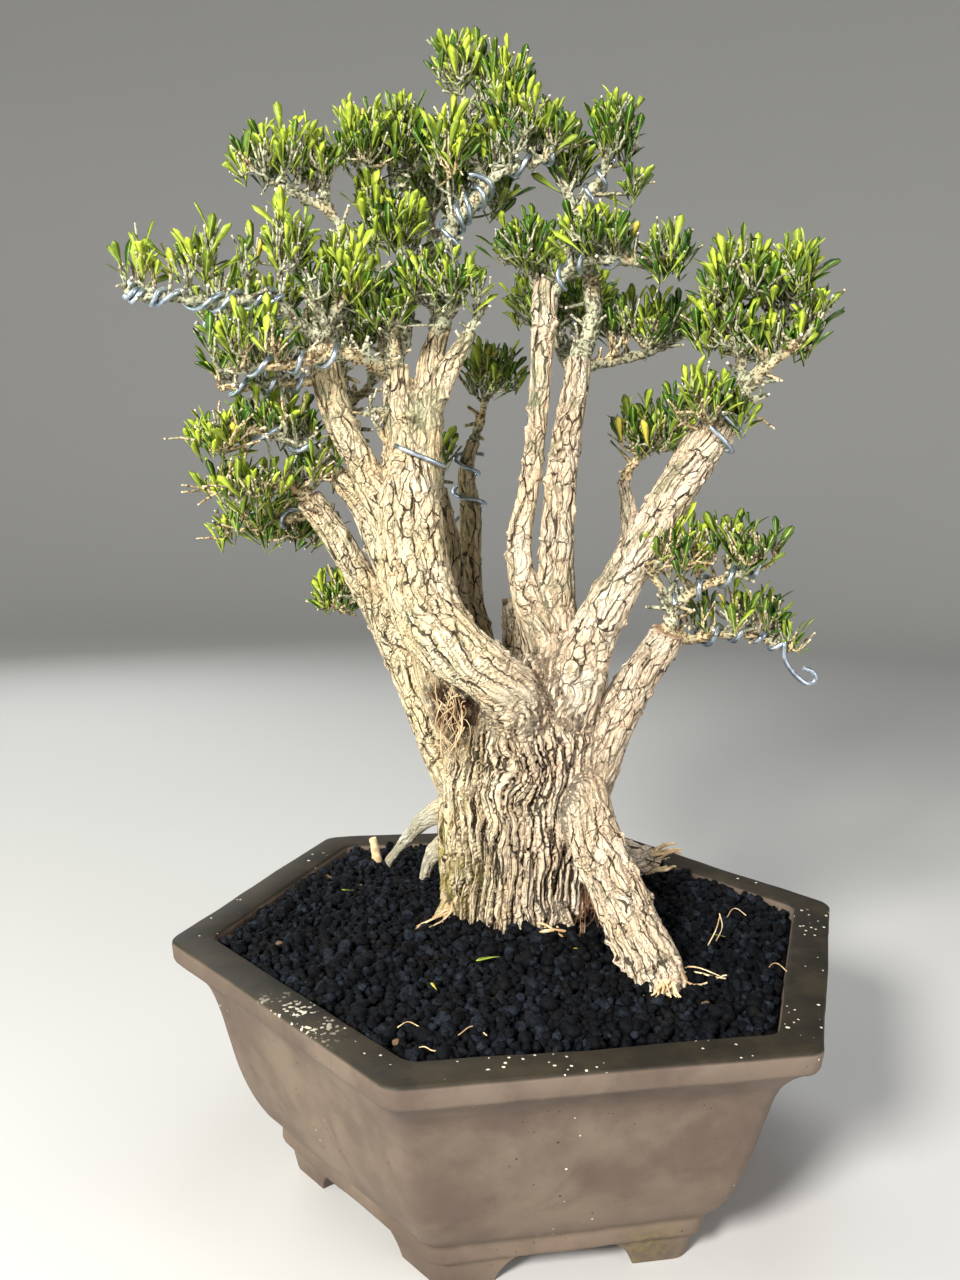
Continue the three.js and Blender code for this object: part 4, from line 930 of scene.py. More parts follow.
def bark():
    material, tree, place = new_material("cork_bark")
    grain = attribute(tree, "grain", "Vector")
    # The left of the stump is painted yellower, a painted tint of the greenish light that falls from
    # the left; pinker cork on the right and up the limbs
    left_lit_yellow, cloud = mottle(tree, place, 38.0, colour(240, 218, 172), colour(251, 237, 202))
    pink, _ = mottle(tree, place, 38.0, colour(244, 220, 188), colour(254, 240, 214))
    body = blend(tree, ease(tree, axis(tree, place, "X"), -0.035, 0.03), left_lit_yellow, pink)
    body = blend(tree, ramp(tree, attribute(tree, "plate"), 0.4, 1.0, 0.45), body,
                 colour(222, 192, 154))
    # Darker blotches spread by noise: partly stains, partly painted shade standing in for the bark's
    # relief
    blotches = tangle(tree, place, 120.0, 6.0, Roughness=0.7)
    body = blend(tree, ramp(tree, blotches, 0.5, 0.7, 0.45), body, colour(196, 170, 130))
    # Fibres too fine to model: drawn out along the grain
    fibre_place = node(tree, "Mapping", {"Vector": grain, "Scale": (0.9, 0.12, 1.0)})
    fibre = tangle(tree, fibre_place, 1.0, 6.0, Roughness=0.7, Distortion=0.4)
    body = blend(tree, ramp(tree, fibre, 0.52, 0.78, 0.55), body, colour(196, 160, 120))
    between = node(tree, "Mix", {0: attribute(tree, "strand"),
                                 2: crack_lines(tree, grain, 5.6, 12.5, 0.38, 0.46),
                                 3: crack_lines(tree, grain, 3.4, 30.0, 0.35, 0.52)})
    fine_crack = most(tree, between, times(tree, crack_lines(tree, grain, 2.3, 8.0, 0.44, 0.22), 0.6))
    ragged = tangle(tree, place, 700.0, 3.0)
    edge = maths(tree, "MULTIPLY_ADD", ragged, 0.7, attribute(tree, "crack"))
    # Brown creeps out of the cracks; their nearly black bottoms are painted shade, for the shade deep
    # in cracks too fine for the mesh
    body = blend(tree, ramp(tree, edge, 1.6, 0.7, 0.35), body, colour(206, 164, 122))
    dark = most(tree, ease(tree, edge, 1.0, 0.5), times(tree, fine_crack, 0.92))
    body = blend(tree, dark, body, colour(40, 26, 18))
    # The surface root at the left is bare and bleached
    bleached = times(tree, near_spot(tree, place, (-64, 58, 30), 46), 1.6)
    pale_root, _ = mottle(tree, place, 90.0, colour(206, 200, 176), colour(246, 242, 226))
    body = blend(tree, times(tree, bleached, 0.95), body, pale_root)
    # Yellow moss in the cracks at the stump's left foot
    moss = times(tree, near_spot(tree, place, (-46, -2, 30), 46), ease(tree, blotches, 0.42, 0.6))
    body = blend(tree, moss, body, colour(152, 136, 62))
    # The rotten hollow is dark inside
    rot = times(tree, near_spot(tree, place, (-38, -26, 117), 26), ease(tree, blotches, 0.34, 0.52))
    body = blend(tree, times(tree, rot, 2.2), body, colour(72, 48, 32))
    # Grey-green lichen in thin patches, mostly on the upper limbs
    high = ease(tree, axis(tree, place, "Z"), RIM_CENTRE.z + 0.1, RIM_CENTRE.z + 0.26)
    lichen = ease(tree, tangle(tree, place, 60.0, 6.0, Roughness=0.7), 0.5, 0.66)
    lichen = times(tree, lichen, ramp(tree, high, 0.0, 1.0, 0.72, 0.12))
    body = blend(tree, lichen, body, colour(150, 158, 122))
    lime = speckle(tree, place, 420.0, 0.06, 30.0, 0.44)
    body = blend(tree, times(tree, lime, 0.6), body, colour(240, 232, 212))
    rings = tangle(tree, fibre_place, 2.2, 5.0)
    sawn = blend(tree, rings, colour(214, 180, 146), colour(158, 122, 94))
    body = blend(tree, attribute(tree, "cut_end"), body, sawn)
    flake = tangle(tree, place, 330.0, 5.0, Roughness=0.65)
    relief = maths(tree, "MULTIPLY_ADD", flake, 0.65, maths(tree, "MULTIPLY", fibre, -1.0))
    relief = maths(tree, "SUBTRACT", relief, fine_crack)
    relief = maths(tree, "ADD", relief, ramp(tree, edge, 0.6, 1.9, 1.8))
    surface(tree, body, [cloud, 0.82, 0.97], [relief, 1.0, 0.0022], shine=0.2)
    return material


BARK = bark()
swell = bmesh.new()
swell.from_mesh(fused_wood("stump", STUMP, STUMP_CELL))
for _ in range(SMOOTH_PASSES):
    bmesh.ops.smooth_vert(swell, verts=swell.verts, factor=0.5, use_axis_x=True,
                          use_axis_y=True, use_axis_z=True)
stump_mesh = mesh_of(swell, "stump")
give_bark(stump_mesh, STUMP)
finished("stump", stump_mesh, [BARK], ["trunk"])
limb_names = [name for name in LIMBS if name not in STUMP]
limb_mesh = fused_wood("limbs", limb_names, LIMB_CELL)
give_bark(limb_mesh, limb_names)
finished("limbs", limb_mesh, [BARK], ["trunk"])

# Dead stub: a broken root that stands up in the soil behind the tree on the left, tan and dry.
DEAD_STUB = [[-87, 84, -12, 3], [-88, 82, 2, 3], [-91, 81, 15, 2.2]]


def rough_tubes(name, routes, sides, roughness):
    """Tubes with a knobbly skin, whose knobs are about as high as the roughness in millimetres"""
    mesh = tubes(name, routes, sides)
    for vert in mesh.vertices:
        lump = noise.noise(vert.co / 3.1) + 0.7 * noise.noise(vert.co / 1.5)
        vert.co += vert.normal * lump * roughness
    return mesh


def twig_bark():
    material, tree, place = new_material("twig_bark")
    body, cloud = mottle(tree, place, 190.0, colour(160, 136, 94), colour(222, 204, 160))
    grey, _ = mottle(tree, place, 120.0, colour(126, 130, 104), colour(186, 188, 158))
    # Greyer and more overgrown with height
    high = ease(tree, axis(tree, place, "Z"), RIM_CENTRE.z + 0.2, RIM_CENTRE.z + 0.34)
    patches = maths(tree, "MULTIPLY_ADD", high, 0.16, tangle(tree, place, 45.0, 5.0))
    body = blend(tree, ease(tree, patches, 0.46, 0.62), body, grey)
    # Dark gaps between bark flakes, sunk into the bump: partly the bark's own dark brown, partly
    # painted shade in the gaps
    dark = tangle(tree, place, 620.0, 4.0)
    body = blend(tree, times(tree, ease(tree, dark, 0.49, 0.58), 0.9), body, colour(70, 52, 36))
    surface(tree, body, [cloud, 0.75, 0.95], [dark, 0.9, -0.0012])
    return material


def torn_root():
    material, tree, place = new_material("torn_root")
    body, cloud = mottle(tree, place, 90.0, colour(170, 134, 92), colour(236, 216, 174))
    # The fine roots under the prop root are brown, and those in the hollow half so
    damp = times(tree, near_spot(tree, place, (38, -12, 14), 30), 1.6)
    hollow = times(tree, near_spot(tree, place, (-38, -30, 112), 36), 0.4)
    damp = maths(tree, "ADD", damp, hollow, clamped=True)
    body = blend(tree, damp, body, colour(112, 78, 52))
    surface(tree, body, [cloud, 0.7, 0.9], [tangle(tree, place, 900.0, 3.0), 0.5, 0.0005])
    return material


TWIG_BARK = twig_bark()
TORN_ROOT = torn_root()
finished("dead_root_stub", rough_tubes("dead_root_stub", [smooth_route(DEAD_STUB, 1.5)], 12, 0.5),
         [TORN_ROOT], ["dead_stub"])

# Rootlets and litter: fine roots that hang out of the stump, torn fibres at the ends of roots,
# and loose threads of root on the soil.
# Each bundle: how many, the low and high corners of the box that they start in and of the box
# that they end in, and their thickness
FIBRES = [
    [26, [28, -24, 14], [42, 2, 32], [26, -32, 1], [52, 4, 6], 0.36],
    [20, [-50, -36, 118], [-30, -32, 134], [-46, -30, 100], [-30, -26, 114], 0.42],
    [12, [-42, -33, 106], [-28, -29, 120], [-42, -33, 86], [-28, -30, 100], 0.36],
    [10, [56, -76, 3], [64, -66, 10], [48, -74, 1], [54, -62, 3], 0.9],
    [3, [70, -74, 3], [76, -66, 7], [90, -68, 1], [99, -58, 3], 0.8],
    [12, [60, -84, 2], [74, -78, 8], [58, -90, 1], [76, -86, 2], 0.9],
    [12, [66, 62, 6], [76, 72, 18], [78, 62, 6], [94, 80, 24], 1.3],
    [6, [-38, -12, 2], [-30, -4, 12], [-56, -30, 1], [-40, -16, 3], 0.9],
    [6, [8, -28, 1], [28, -20, 10], [12, -44, 1], [40, -30, 2], 0.9],
]
THREAD_RADIUS = 0.26
THREADS = [[[-43, -141, 0], [-38, -138, 1], [-33, -141, 1], [-29, -138, 0]],
           [[-24, -128, 0], [-18, -124, 2], [-12, -127, 0]],
           [[111, 14, 1], [116, 20, 4], [122, 18, 1]],
           [[94, -30, 1], [98, -28, 9], [100, -25, 15]], [[99, -24, 1], [102, -22, 8], [101, -18, 13]],
           [[-50, -124, 0], [-46, -122, 1.4], [-41, -123, 0]],
           [[118, -52, 0], [124, -46, 3], [130, -48, 0]]]


def in_box(low, high, draw):
    return Vector([draw.uniform(first, last) for first, last in zip(low, high)])


def fibre_routes():
    draw = random.Random(12)
    routes = []
    for count, start_low, start_high, end_low, end_high, thick in FIBRES:
        for _ in range(count):
            start, end = in_box(start_low, start_high, draw), in_box(end_low, end_high, draw)
            bow = (end - start).length * 0.4
            bends = [Vector([draw.uniform(-bow, bow) for _ in range(3)]) for _ in range(2)]
            curve = interpolate_bezier(start, start.lerp(end, 0.35) + bends[0],
                                       start.lerp(end, 0.7) + bends[1] * 0.5, end, 8)
            own = thick * draw.uniform(0.6, 1.2)
            routes.append([(spot, own * (1 - 0.6 * k / 7)) for k, spot in enumerate(curve)])
    for thread in THREADS:
        stations = [[x, y, soil_height(x, y) + z + 1.4, THREAD_RADIUS] for x, y, z in thread]
        routes.append(smooth_route(stations, 1.5))
    return routes


finished("rootlets", rough_tubes("rootlets", fibre_routes(), 6, 0.12), [TORN_ROOT])

# Leafy sprays: each is a trained branch with its clipped twigs, and on them fans of narrow
# spoon-shaped leaves in opposite pairs, held upright. Twigs grow from the nearest wood towards
# the places that light reaches, so each pad is bare below and leafy on top.
SPRIG_AREA = 56
TIP_DROP = 5
# Sprays that are more open than the rest, with so much more room for each sprig
OPEN_SPRAYS = {"far_left": 2.5, "left_fourth": 1.6, "left_third": 1.3, "right_low": 1.7,
               "right_shelf": 1.25, "upper_left": 1.3, "left_second": 1.3, "middle_right": 1.2,
               "left_cut_end": 1.2}
# Sprays with more bare wood than leaves
TWIGGY_SPRAYS = {"right_low", "right_shelf", "left_hanging"}
# Sprays in the sun, at the top and left, whose leaves are painted lighter: painted light
SUNLIT_SPRAYS = {"apex", "crown_left", "upper_left", "far_left", "left_second", "left_third",
                "left_lower", "left_cut_end", "d_top"}
LEAF_LENGTH = 16.5
LEAF_WIDTH = 4.5
LEAF_THICKNESS = 0.3
PAIR_SPACING = 4.0
MISSING_LEAVES = 0.1
OLD_LEAVES = 0.005
# How much lighter the leaves of the sunlit sprays are painted, as painted light
SUNLIT_LIFT = 0.1
TWIG_END = 0.72
SPUR_LENGTHS = (3, 11)
BARE_LENGTHS = (6, 19)
# Each spray: its stems, as stations of [x, y, z, radius], and its pads of leaves, each with its
# middle and its reach to the side, to the back and up
SPRAYS = {
    "far_left": {"stems": [
        [[-103, -32, 294, 3.2], [-113, -40, 300, 2.8], [-123, -46, 309, 2.6], [-145, -52, 306, 2.3],
         [-171, -58, 307, 1.9], [-182, -60, 307, 1.6], [-187, -60, 312, 1.3]]],
        "pads": [[-179, -60, 321, 8, 9, 14], [-154, -54, 327, 22, 12, 15],
                 [-117, -46, 333, 20, 14, 22]]},
    "left_second": {"stems": [
        [[-103, -26, 296, 2.6], [-117, -12, 302, 2.2], [-149, 0, 304, 1.8], [-166, 6, 305, 1.5],
         [-176, 8, 301, 1.3]]],
        "pads": [[-146, 2, 318, 28, 18, 12]]},
    "left_third": {"stems": [
        [[-72, -17, 279, 3.3], [-81, -32, 284, 3.2], [-92, -44, 285, 3], [-103, -51, 282, 2.6],
         [-113, -53, 279, 2.3], [-129, -56, 277, 1.9], [-143, -58, 275, 1.4]]],
        "pads": [[-131, -60, 289, 20, 12, 12]]},
    "left_fourth": {"stems": [
        [[-101, -29, 275, 2.6], [-112, -33, 273, 2.3], [-129, -36, 271, 1.9], [-149, -40, 269, 1.4]]],
        "pads": [[-136, -30, 283, 24, 14, 9]]},
    "left_lower": {"stems": [
        [[-96, -18, 231, 3.2], [-103, -26, 240, 2.8], [-117, -34, 246, 2.4], [-135, -40, 250, 1.9],
         [-155, -44, 246, 1.3]],
        [[-103, -26, 240, 2.2], [-112, -22, 252, 1.8], [-122, -18, 258, 1.3]]],
        "pads": [[-147, -42, 247, 14, 15, 11], [-125, -28, 256, 18, 16, 14]]},
    "left_cut_end": {"stems": [
        [[-112, -14, 219, 3.2], [-122, -22, 224, 2.6], [-137, -30, 226, 1.9], [-149, -34, 226, 1.3]]],
        "pads": [[-137, -26, 226, 22, 18, 10], [-106, -20, 236, 12, 12, 10]]},
    "left_hanging": {"stems": [
        [[-108, -10, 212, 2.8], [-126, 8, 208, 2.4], [-144, 20, 206, 1.8], [-161, 28, 208, 1.3]]],
        "pads": [[-136, 22, 204, 33, 22, 15]]},
    "left_inner": {"stems": [
        [[-80, 4, 167, 2.8], [-96, 22, 166, 2.2], [-106, 34, 159, 1.4]]],
        "pads": [[-106, 32, 166, 13, 13, 14]]},
    "d_top": {"stems": [
        [[-103, -30, 291, 3.4], [-98, -32, 303, 2.4], [-90, -34, 316, 1.5]],
        [[-100, -31, 298, 2.4], [-104, -40, 308, 1.8], [-106, -44, 318, 1.3]]],
        "pads": [[-92, -36, 321, 19, 15, 17]]},
    "a_left": {"stems": [
        [[-70, -14, 284, 3.6], [-71, -20, 298, 2.6], [-74, -25, 312, 1.6]],
        [[-65, -19, 238, 2.4], [-74, -22, 249, 1.7], [-80, -26, 262, 1.1]],
        [[-67, -18, 256, 2.2], [-76, -24, 262, 1.6], [-84, -28, 259, 1.1]]],
        "pads": [[-74, -28, 308, 14, 13, 13]]},
    "a_front": {"stems": [
        [[-50, -7, 300, 4], [-44, -18, 310, 2.8], [-39, -25, 319, 1.6]],
        [[-46, -14, 306, 2.6], [-52, -22, 314, 2], [-57, -27, 320, 1.4]],
        [[-38, -15, 292, 3.4], [-32, -18, 304, 2.2], [-27, -21, 312, 1.4]]],
        "pads": [[-47, -27, 321, 21, 14, 14]]},
    "crown_left": {"stems": [
        [[-71, -13, 282, 4.2], [-66, -4, 307, 3.8], [-68, 0, 332, 3.6], [-72, 4, 356, 2.9],
         [-76, 6, 381, 2], [-78, 6, 396, 1.3]],
        [[-72, 4, 356, 2.4], [-85, -6, 373, 1.8], [-92, -10, 388, 1.3]]],
        "pads": [[-90, -6, 388, 11, 16, 20], [-71, 8, 395, 11, 18, 22], [-72, 0, 352, 17, 20, 14],
                 [-84, 0, 364, 8, 12, 14]]},
    "upper_left": {"stems": [
        [[-101, -28, 291, 3.2], [-94, -16, 310, 2.9], [-94, -12, 329, 2.7], [-95, -14, 343, 2.5],
         [-102, -18, 354, 2.3], [-116, -22, 361, 1.9], [-129, -26, 366, 1.4]],
        [[-102, -18, 354, 2], [-105, -18, 371, 1.7], [-108, -18, 384, 1.2]]],
        "pads": [[-123, -20, 378, 25, 17, 15]]},
    "apex": {"stems": [
        [[-49, -6, 303, 4.8], [-48, -4, 322, 4.6], [-47, -4, 339, 4.4], [-44, -4, 353, 4],
         [-36, -4, 362, 3.6], [-30, -4, 370, 3.2], [-36, -4, 386, 2.4], [-39, -4, 405, 1.9],
         [-45, -4, 425, 1.2]],
        [[-30, -4, 370, 2.8], [-21, -4, 378, 2.4], [-1, -4, 384, 1.9], [8, -4, 391, 1.3]],
        [[-39, -4, 405, 1.8], [-28, -4, 416, 1.5], [-19, -4, 425, 1.2]]],
        "pads": [[-43, -4, 427, 12, 12, 13], [-21, -4, 416, 12, 12, 19], [-8, -4, 398, 21, 16, 15],
                 [-46, -12, 386, 11, 13, 18]]},
    "crown_back": {"stems": [
        [[-51, -2, 298, 3.8], [-54, 22, 321, 3.4], [-59, 36, 354, 2.6], [-59, 40, 385, 1.8],
         [-56, 42, 404, 1.2]],
        [[-59, 36, 354, 2.2], [-39, 40, 374, 1.7], [-24, 42, 392, 1.2]]],
        "pads": [[-46, 48, 386, 30, 24, 32]]},
    "right_top": {"stems": [
        [[20, 5, 290, 5], [26, 8, 311, 4.6], [24, 8, 330, 4.2], [18, 6, 349, 4], [17, 6, 360, 3.6],
         [22, 5, 370, 2.8], [27, 4, 377, 2.3], [30, 4, 392, 1.8], [34, 4, 405, 1.2]],
        [[17, 6, 358, 2.6], [10, 8, 374, 2], [5, 9, 388, 1.3]]],
        "pads": [[33, 4, 399, 11, 13, 20], [12, 12, 386, 9, 13, 16], [43, 4, 376, 5, 6, 6]]},
    "middle": {"stems": [
        [[4, 6, 316, 2.8], [10, -2, 329, 2.6], [22, -12, 336, 2.4], [46, -18, 334, 2],
         [69, -20, 340, 1.3]],
        [[0, 8, 318, 2.6], [-7, 4, 333, 1.8], [-19, 2, 338, 1.2]]],
        "pads": [[-9, -2, 344, 15, 16, 14], [25, -18, 347, 20, 15, 11], [56, -20, 339, 14, 13, 10]]},
    "middle_right": {"stems": [
        [[24, 6, 288, 3], [41, 16, 293, 2.5], [58, 20, 298, 1.9], [76, 22, 308, 1.3]]],
        "pads": [[55, 20, 312, 25, 18, 12]]},
    "right_big": {"stems": [
        [[94, -36, 272, 3.6], [101, -40, 282, 3], [113, -44, 292, 2.5], [121, -46, 300, 1.9],
         [129, -46, 310, 1.2]],
        [[94, -36, 274, 3], [92, -35, 290, 2.4], [86, -35, 303, 1.8], [78, -35, 314, 1.2]],
        [[92, -35, 290, 2.2], [105, -34, 302, 1.8], [116, -30, 310, 1.2]]],
        "pads": [[90, -36, 325, 17, 22, 14], [110, -38, 325, 14, 22, 14], [121, -44, 311, 8, 12, 10],
                 [108, -38, 299, 20, 14, 9], [82, -34, 302, 14, 18, 14]]},
    "h_front": {"stems": [
        [[81, -34, 253, 3.2], [77, -46, 262, 2.2], [71, -50, 271, 1.3]]],
        "pads": [[75, -48, 268, 15, 12, 12]]},
    "h_tip": {"stems": [
        [[92, -35, 268, 3.2], [98, -43, 269, 1.8], [103, -47, 271, 1.2]]],
        "pads": [[92, -46, 266, 4, 6, 4]]},
    "right_back": {"stems": [
        [[48, 54, 232, 3], [54, 55, 243, 2.3], [63, 54, 251, 1.8], [72, 52, 260, 1.2]]],
        "pads": [[63, 54, 259, 20, 18, 18]]},
    "right_shelf": {"stems": [
        [[68, -18, 157, 4], [70, -20, 170, 3], [81, -24, 181, 2.4], [98, -26, 188, 1.9],
         [113, -26, 193, 1.3]],
        [[70, -20, 170, 2.4], [62, -28, 182, 1.9], [54, -34, 192, 1.3]]],
        "pads": [[66, -32, 200, 16, 14, 15], [98, -28, 203, 20, 18, 13]]},
    "right_low": {"stems": [
        [[68, -18, 157, 4], [79, -14, 155, 2.8], [94, -12, 157, 2.3], [108, -12, 158, 1.9],
         [118, -12, 155, 1.6], [127, -12, 150, 1.2]]],
        "pads": [[106, -10, 169, 25, 19, 12], [130, -12, 158, 5, 5, 5]]},
    "back_centre": {"stems": [
        [[-34, 44, 252, 2.6], [-30, 43, 266, 2], [-26, 42, 282, 1.3]]],
        "pads": [[-26, 42, 288, 15, 15, 18]]},
    "stub_shoot": {"stems": [
        [[-51, 34, 226, 2], [-50, 36, 236, 1.4], [-50, 38, 246, 1.1]]],
        "pads": [[-50, 38, 248, 6, 6, 6]]},
    "back_upper": {"stems": [
        [[17, 4, 284, 3.4], [10, 40, 304, 2.6], [8, 66, 330, 1.5]],
        [[12, 30, 298, 2.2], [24, 50, 310, 1.8], [32, 66, 322, 1.2]]],
        "pads": [[12, 66, 327, 30, 22, 28]]},
    "back_left": {"stems": [
        [[-88, -18, 246, 3], [-99, 10, 276, 2.4], [-106, 40, 302, 1.4]],
        [[-95, 0, 266, 2.2], [-84, 24, 282, 1.8], [-80, 42, 298, 1.2]]],
        "pads": [[-102, 44, 308, 27, 24, 26]]},
}
STEM_ROUTES = {name: [smooth_route(stations, 1.7) for stations in spray["stems"]]
               for name, spray in SPRAYS.items()}
# How wide a leaf is, as a share of its widest, at places along it
LEAF_OUTLINE = [[0, 0.13], [0.34, 0.38], [0.64, 0.88], [0.85, 0.98], [1, 0.26]]
CLIPPED_OUTLINE = [[0, 0.13], [0.24, 0.3], [0.44, 0.58], [0.62, 0.86], [0.68, 0.92]]


def leaf_shape(curl, fold, outline):
    """A leaf one unit long, along +Y with its upper face to +Z: two skins that meet at the rim"""
    bm = bmesh.new()
    bm.loops.layers.uv.new("UVMap")
    bmesh.ops.create_grid(bm, x_segments=2, y_segments=len(outline) - 1, size=1, calc_uvs=True)
    under = bmesh.ops.duplicate(bm, geom=list(bm.faces))["geom"]
    under_verts = {item for item in under if isinstance(item, bmesh.types.BMVert)}
    bmesh.ops.reverse_faces(bm, faces=[item for item in under
                                       if isinstance(item, bmesh.types.BMFace)])
    for vert in bm.verts:
        row = round((vert.co.y + 1) / 2 * (len(outline) - 1))
        along, wide = outline[row]
        across = vert.co.x * wide * LEAF_WIDTH / LEAF_LENGTH / 2
        rise = abs(across) * fold + curl * along * along
        if vert in under_verts and abs(vert.co.x) < 0.5 and 0 < row < len(outline) - 1:
            rise -= LEAF_THICKNESS / LEAF_LENGTH
        vert.co = Vector((across, along, rise))
    bmesh.ops.remove_doubles(bm, verts=bm.verts, dist=1e-5)
    for face in bm.faces:
        face.material_index = 1
    return mesh_of(bm, "leaf")


LEAF_SHAPES = [leaf_shape(curl, fold, outline) for curl, fold, outline in (
    (-0.14, 0.22, LEAF_OUTLINE), (-0.08, 0.35, LEAF_OUTLINE), (0.05, 0.3, LEAF_OUTLINE),
    (-0.22, 0.2, LEAF_OUTLINE), (0.12, 0.4, LEAF_OUTLINE), (-0.1, 0.3, CLIPPED_OUTLINE),
    (0.02, 0.25, CLIPPED_OUTLINE))]


def pad_targets(pad, room, draw):
    """Places for the tips of twigs, spread over the upper half of a pad and a few within"""
    x, y, z, wide, deep, high = pad
    area = 2 * math.pi * (wide * deep + wide * high + deep * high) / 3
    count = max(4, round(area / room))
    start = draw.random() * 2 * math.pi
    for k in range(count):
        lift = 1 - (k + 0.5) / count * 1.3
        spread = math.sqrt(max(0, 1 - lift * lift))
        angle = start + k * math.pi * (3 - math.sqrt(5))
        outward = Vector((math.cos(angle) * spread, math.sin(angle) * spread, lift))
        reach = draw.uniform(0.8, 1.0) if draw.random() < 0.6 else draw.uniform(0.25, 0.8)
        spot = Vector((x + outward.x * wide * reach, y + outward.y * deep * reach,
                       z + outward.z * high * reach - TIP_DROP))
        yield spot, outward


def reach_cost(spot, joint):
    """How unlikely a twig is to grow from a joint to a spot. Twigs prefer to rise."""
    rise = spot.z - joint.z
    across = math.hypot(spot.x - joint.x, spot.y - joint.y)
    return across * 1.1 + 0.55 * abs(rise) + 1.6 * max(0, 7 - rise)


def grow_twigs(stems, targets, draw):
    """Twigs that fork from the nearest wood below each target, near ones first"""
    joints = [(spot, radius) for route in stems for spot, radius in route[len(route) // 6:]]
    ordered = sorted(targets, key=lambda item: min(reach_cost(item[0], spot) for spot, _ in joints))
    twigs, tips = [], []
    for spot, outward in ordered:
        start, thick = min(joints, key=lambda joint: reach_cost(spot, joint[0]))
        heading = (Vector((outward.x * 0.34, outward.y * 0.34, 1))
                   + Vector([draw.uniform(-0.17, 0.17) for _ in range(3)])).normalized()
        span = (spot - start).length
        flat = Vector((spot.x - start.x, spot.y - start.y, 0))
        curve = interpolate_bezier(start, start + flat * 0.55 + Vector((0, 0, span * 0.12)),
                                   spot - heading * span * 0.5, spot, 6)
        foot = min(thick * 0.85, 0.95 + span * 0.015)
        route = []
        for k, place in enumerate(curve):
            shake = 0.0 if k in (0, 5) else 0.5
            place = place + Vector([draw.uniform(-shake, shake) for _ in range(3)])
            route.append((place, foot + (TWIG_END - foot) * k / 5))
        joints += route[1:4]
        twigs.append(route)
        tips.append((spot, heading, outward.z))
    return twigs, tips


def leaf_places(tip, heading, pairs, draw):
    """Opposite pairs up the last stretch of a twig, each pair turned across the one below"""
    across = heading.orthogonal().normalized()
    turn = draw.random() * math.pi
    for k in range(pairs):
        place = tip - heading * (pairs - 1 - k) * PAIR_SPACING
        tilt = 0.66 - 0.36 * (k + 0.5) / pairs
        for half in (0, math.pi):
            if draw.random() < MISSING_LEAVES:
                continue
            angle = turn + k * math.pi / 2 + half + draw.uniform(-0.25, 0.25)
            outward = Matrix.Rotation(angle, 3, heading) @ across
            lean = tilt + draw.uniform(-0.22, 0.22)
            along = heading * math.cos(lean) + outward * math.sin(lean)
            facing = heading * math.sin(lean) - outward * math.cos(lean)
            size = LEAF_LENGTH * draw.uniform(0.62, 1.1) * (0.86 if k == pairs - 1 else 1)
            facing = Matrix.Rotation(draw.uniform(-0.7, 0.7), 3, along) @ facing
            turned = Matrix((along.cross(facing), along, facing)).transposed().to_4x4()
            yield Matrix.Translation(place) @ turned @ Matrix.Scale(size, 4)


def spur_routes(stems, draw):
    """Short bare spurs where shoots were clipped"""
    spurs = []
    for route in stems:
        for spot, radius in route[2::2]:
            way = Vector([draw.uniform(-1, 1) for _ in range(3)])
            way = (way + Vector((0, 0, 0.7))).normalized()
            length = draw.uniform(*SPUR_LENGTHS)
            thick = min(radius * 0.6, 1.1)
            spurs.append([(spot, thick), (spot + way * (radius + length * 0.5), thick * 0.9),
                          (spot + way * (radius + length), thick * 0.7)])
    return spurs


def bare_twigs(twigs, many, draw):
    """Leafless twigs, which were clipped, beside some of the leafy ones"""
    bare = []
    for route in twigs:
        for _ in range(draw.choice((2, 2, 3) if many else (1, 1, 2))):
            start, thick = route[draw.choice((1, 2, 3))]
            way = (route[-1][0] - route[0][0]).normalized() + Vector((0, 0, 0.8))
            way += Vector([draw.uniform(-0.7, 0.7) for _ in range(3)])
            way = way.normalized() * draw.uniform(*BARE_LENGTHS)
            bend = Vector([draw.uniform(-1.5, 1.5) for _ in range(3)])
            bare.append([(start, min(thick, 0.8)), (start + way * 0.5 + bend, 0.62),
                         (start + way, 0.5)])
    return bare


def clipped_end(route):
    """The bare wood at the end of a clipped spur"""
    (before, _), (tip, radius) = route[-2:]
    way = (tip - before).normalized()
    return [(tip - way * 0.6, radius * 1.06), (tip + way * 0.2, radius * 1.06)]


def spray_mesh(name, seed):
    draw = random.Random(seed)
    stems = STEM_ROUTES[name]
    room = SPRIG_AREA * OPEN_SPRAYS.get(name, 1)
    targets = [target for pad in SPRAYS[name]["pads"] for target in pad_targets(pad, room, draw)]
    twigs, tips = grow_twigs(stems, targets, draw)
    bm = bmesh.new()
    bm.from_mesh(rough_tubes(name, stems, 10, 1.3))
    spurs = spur_routes(stems, draw) + bare_twigs(twigs, name in OPEN_SPRAYS, draw)
    bm.from_mesh(tubes(name, twigs + spurs, 4))
    cuts = tubes(name, [clipped_end(route) for route in spurs], 4)
    for polygon in cuts.polygons:
        polygon.material_index = 2
    bm.from_mesh(cuts)
    for tip, heading, lift in tips:
        # A leaf's tone is random, and lighter high on a pad and on sunlit sprays: painted light and
        # shade, with the low leaves also darker for being older
        shade = draw.uniform(0, 0.5) + 0.35 * max(0.0, lift) + SUNLIT_LIFT * (name in SUNLIT_SPRAYS)
        leafy = lift > 0.15 and name not in TWIGGY_SPRAYS
        pairs = draw.choice((2, 3, 3, 3, 4) if leafy else (1, 2, 2, 3))
        for matrix in leaf_places(tip, heading, pairs, draw):
            old = draw.random() < OLD_LEAVES
            tone = 1.0 if old else min(0.85, max(0.0, shade + draw.uniform(-0.3, 0.25)))
            add_copy(bm, draw.choice(LEAF_SHAPES), matrix, tone)
    return mesh_of(bm, name)


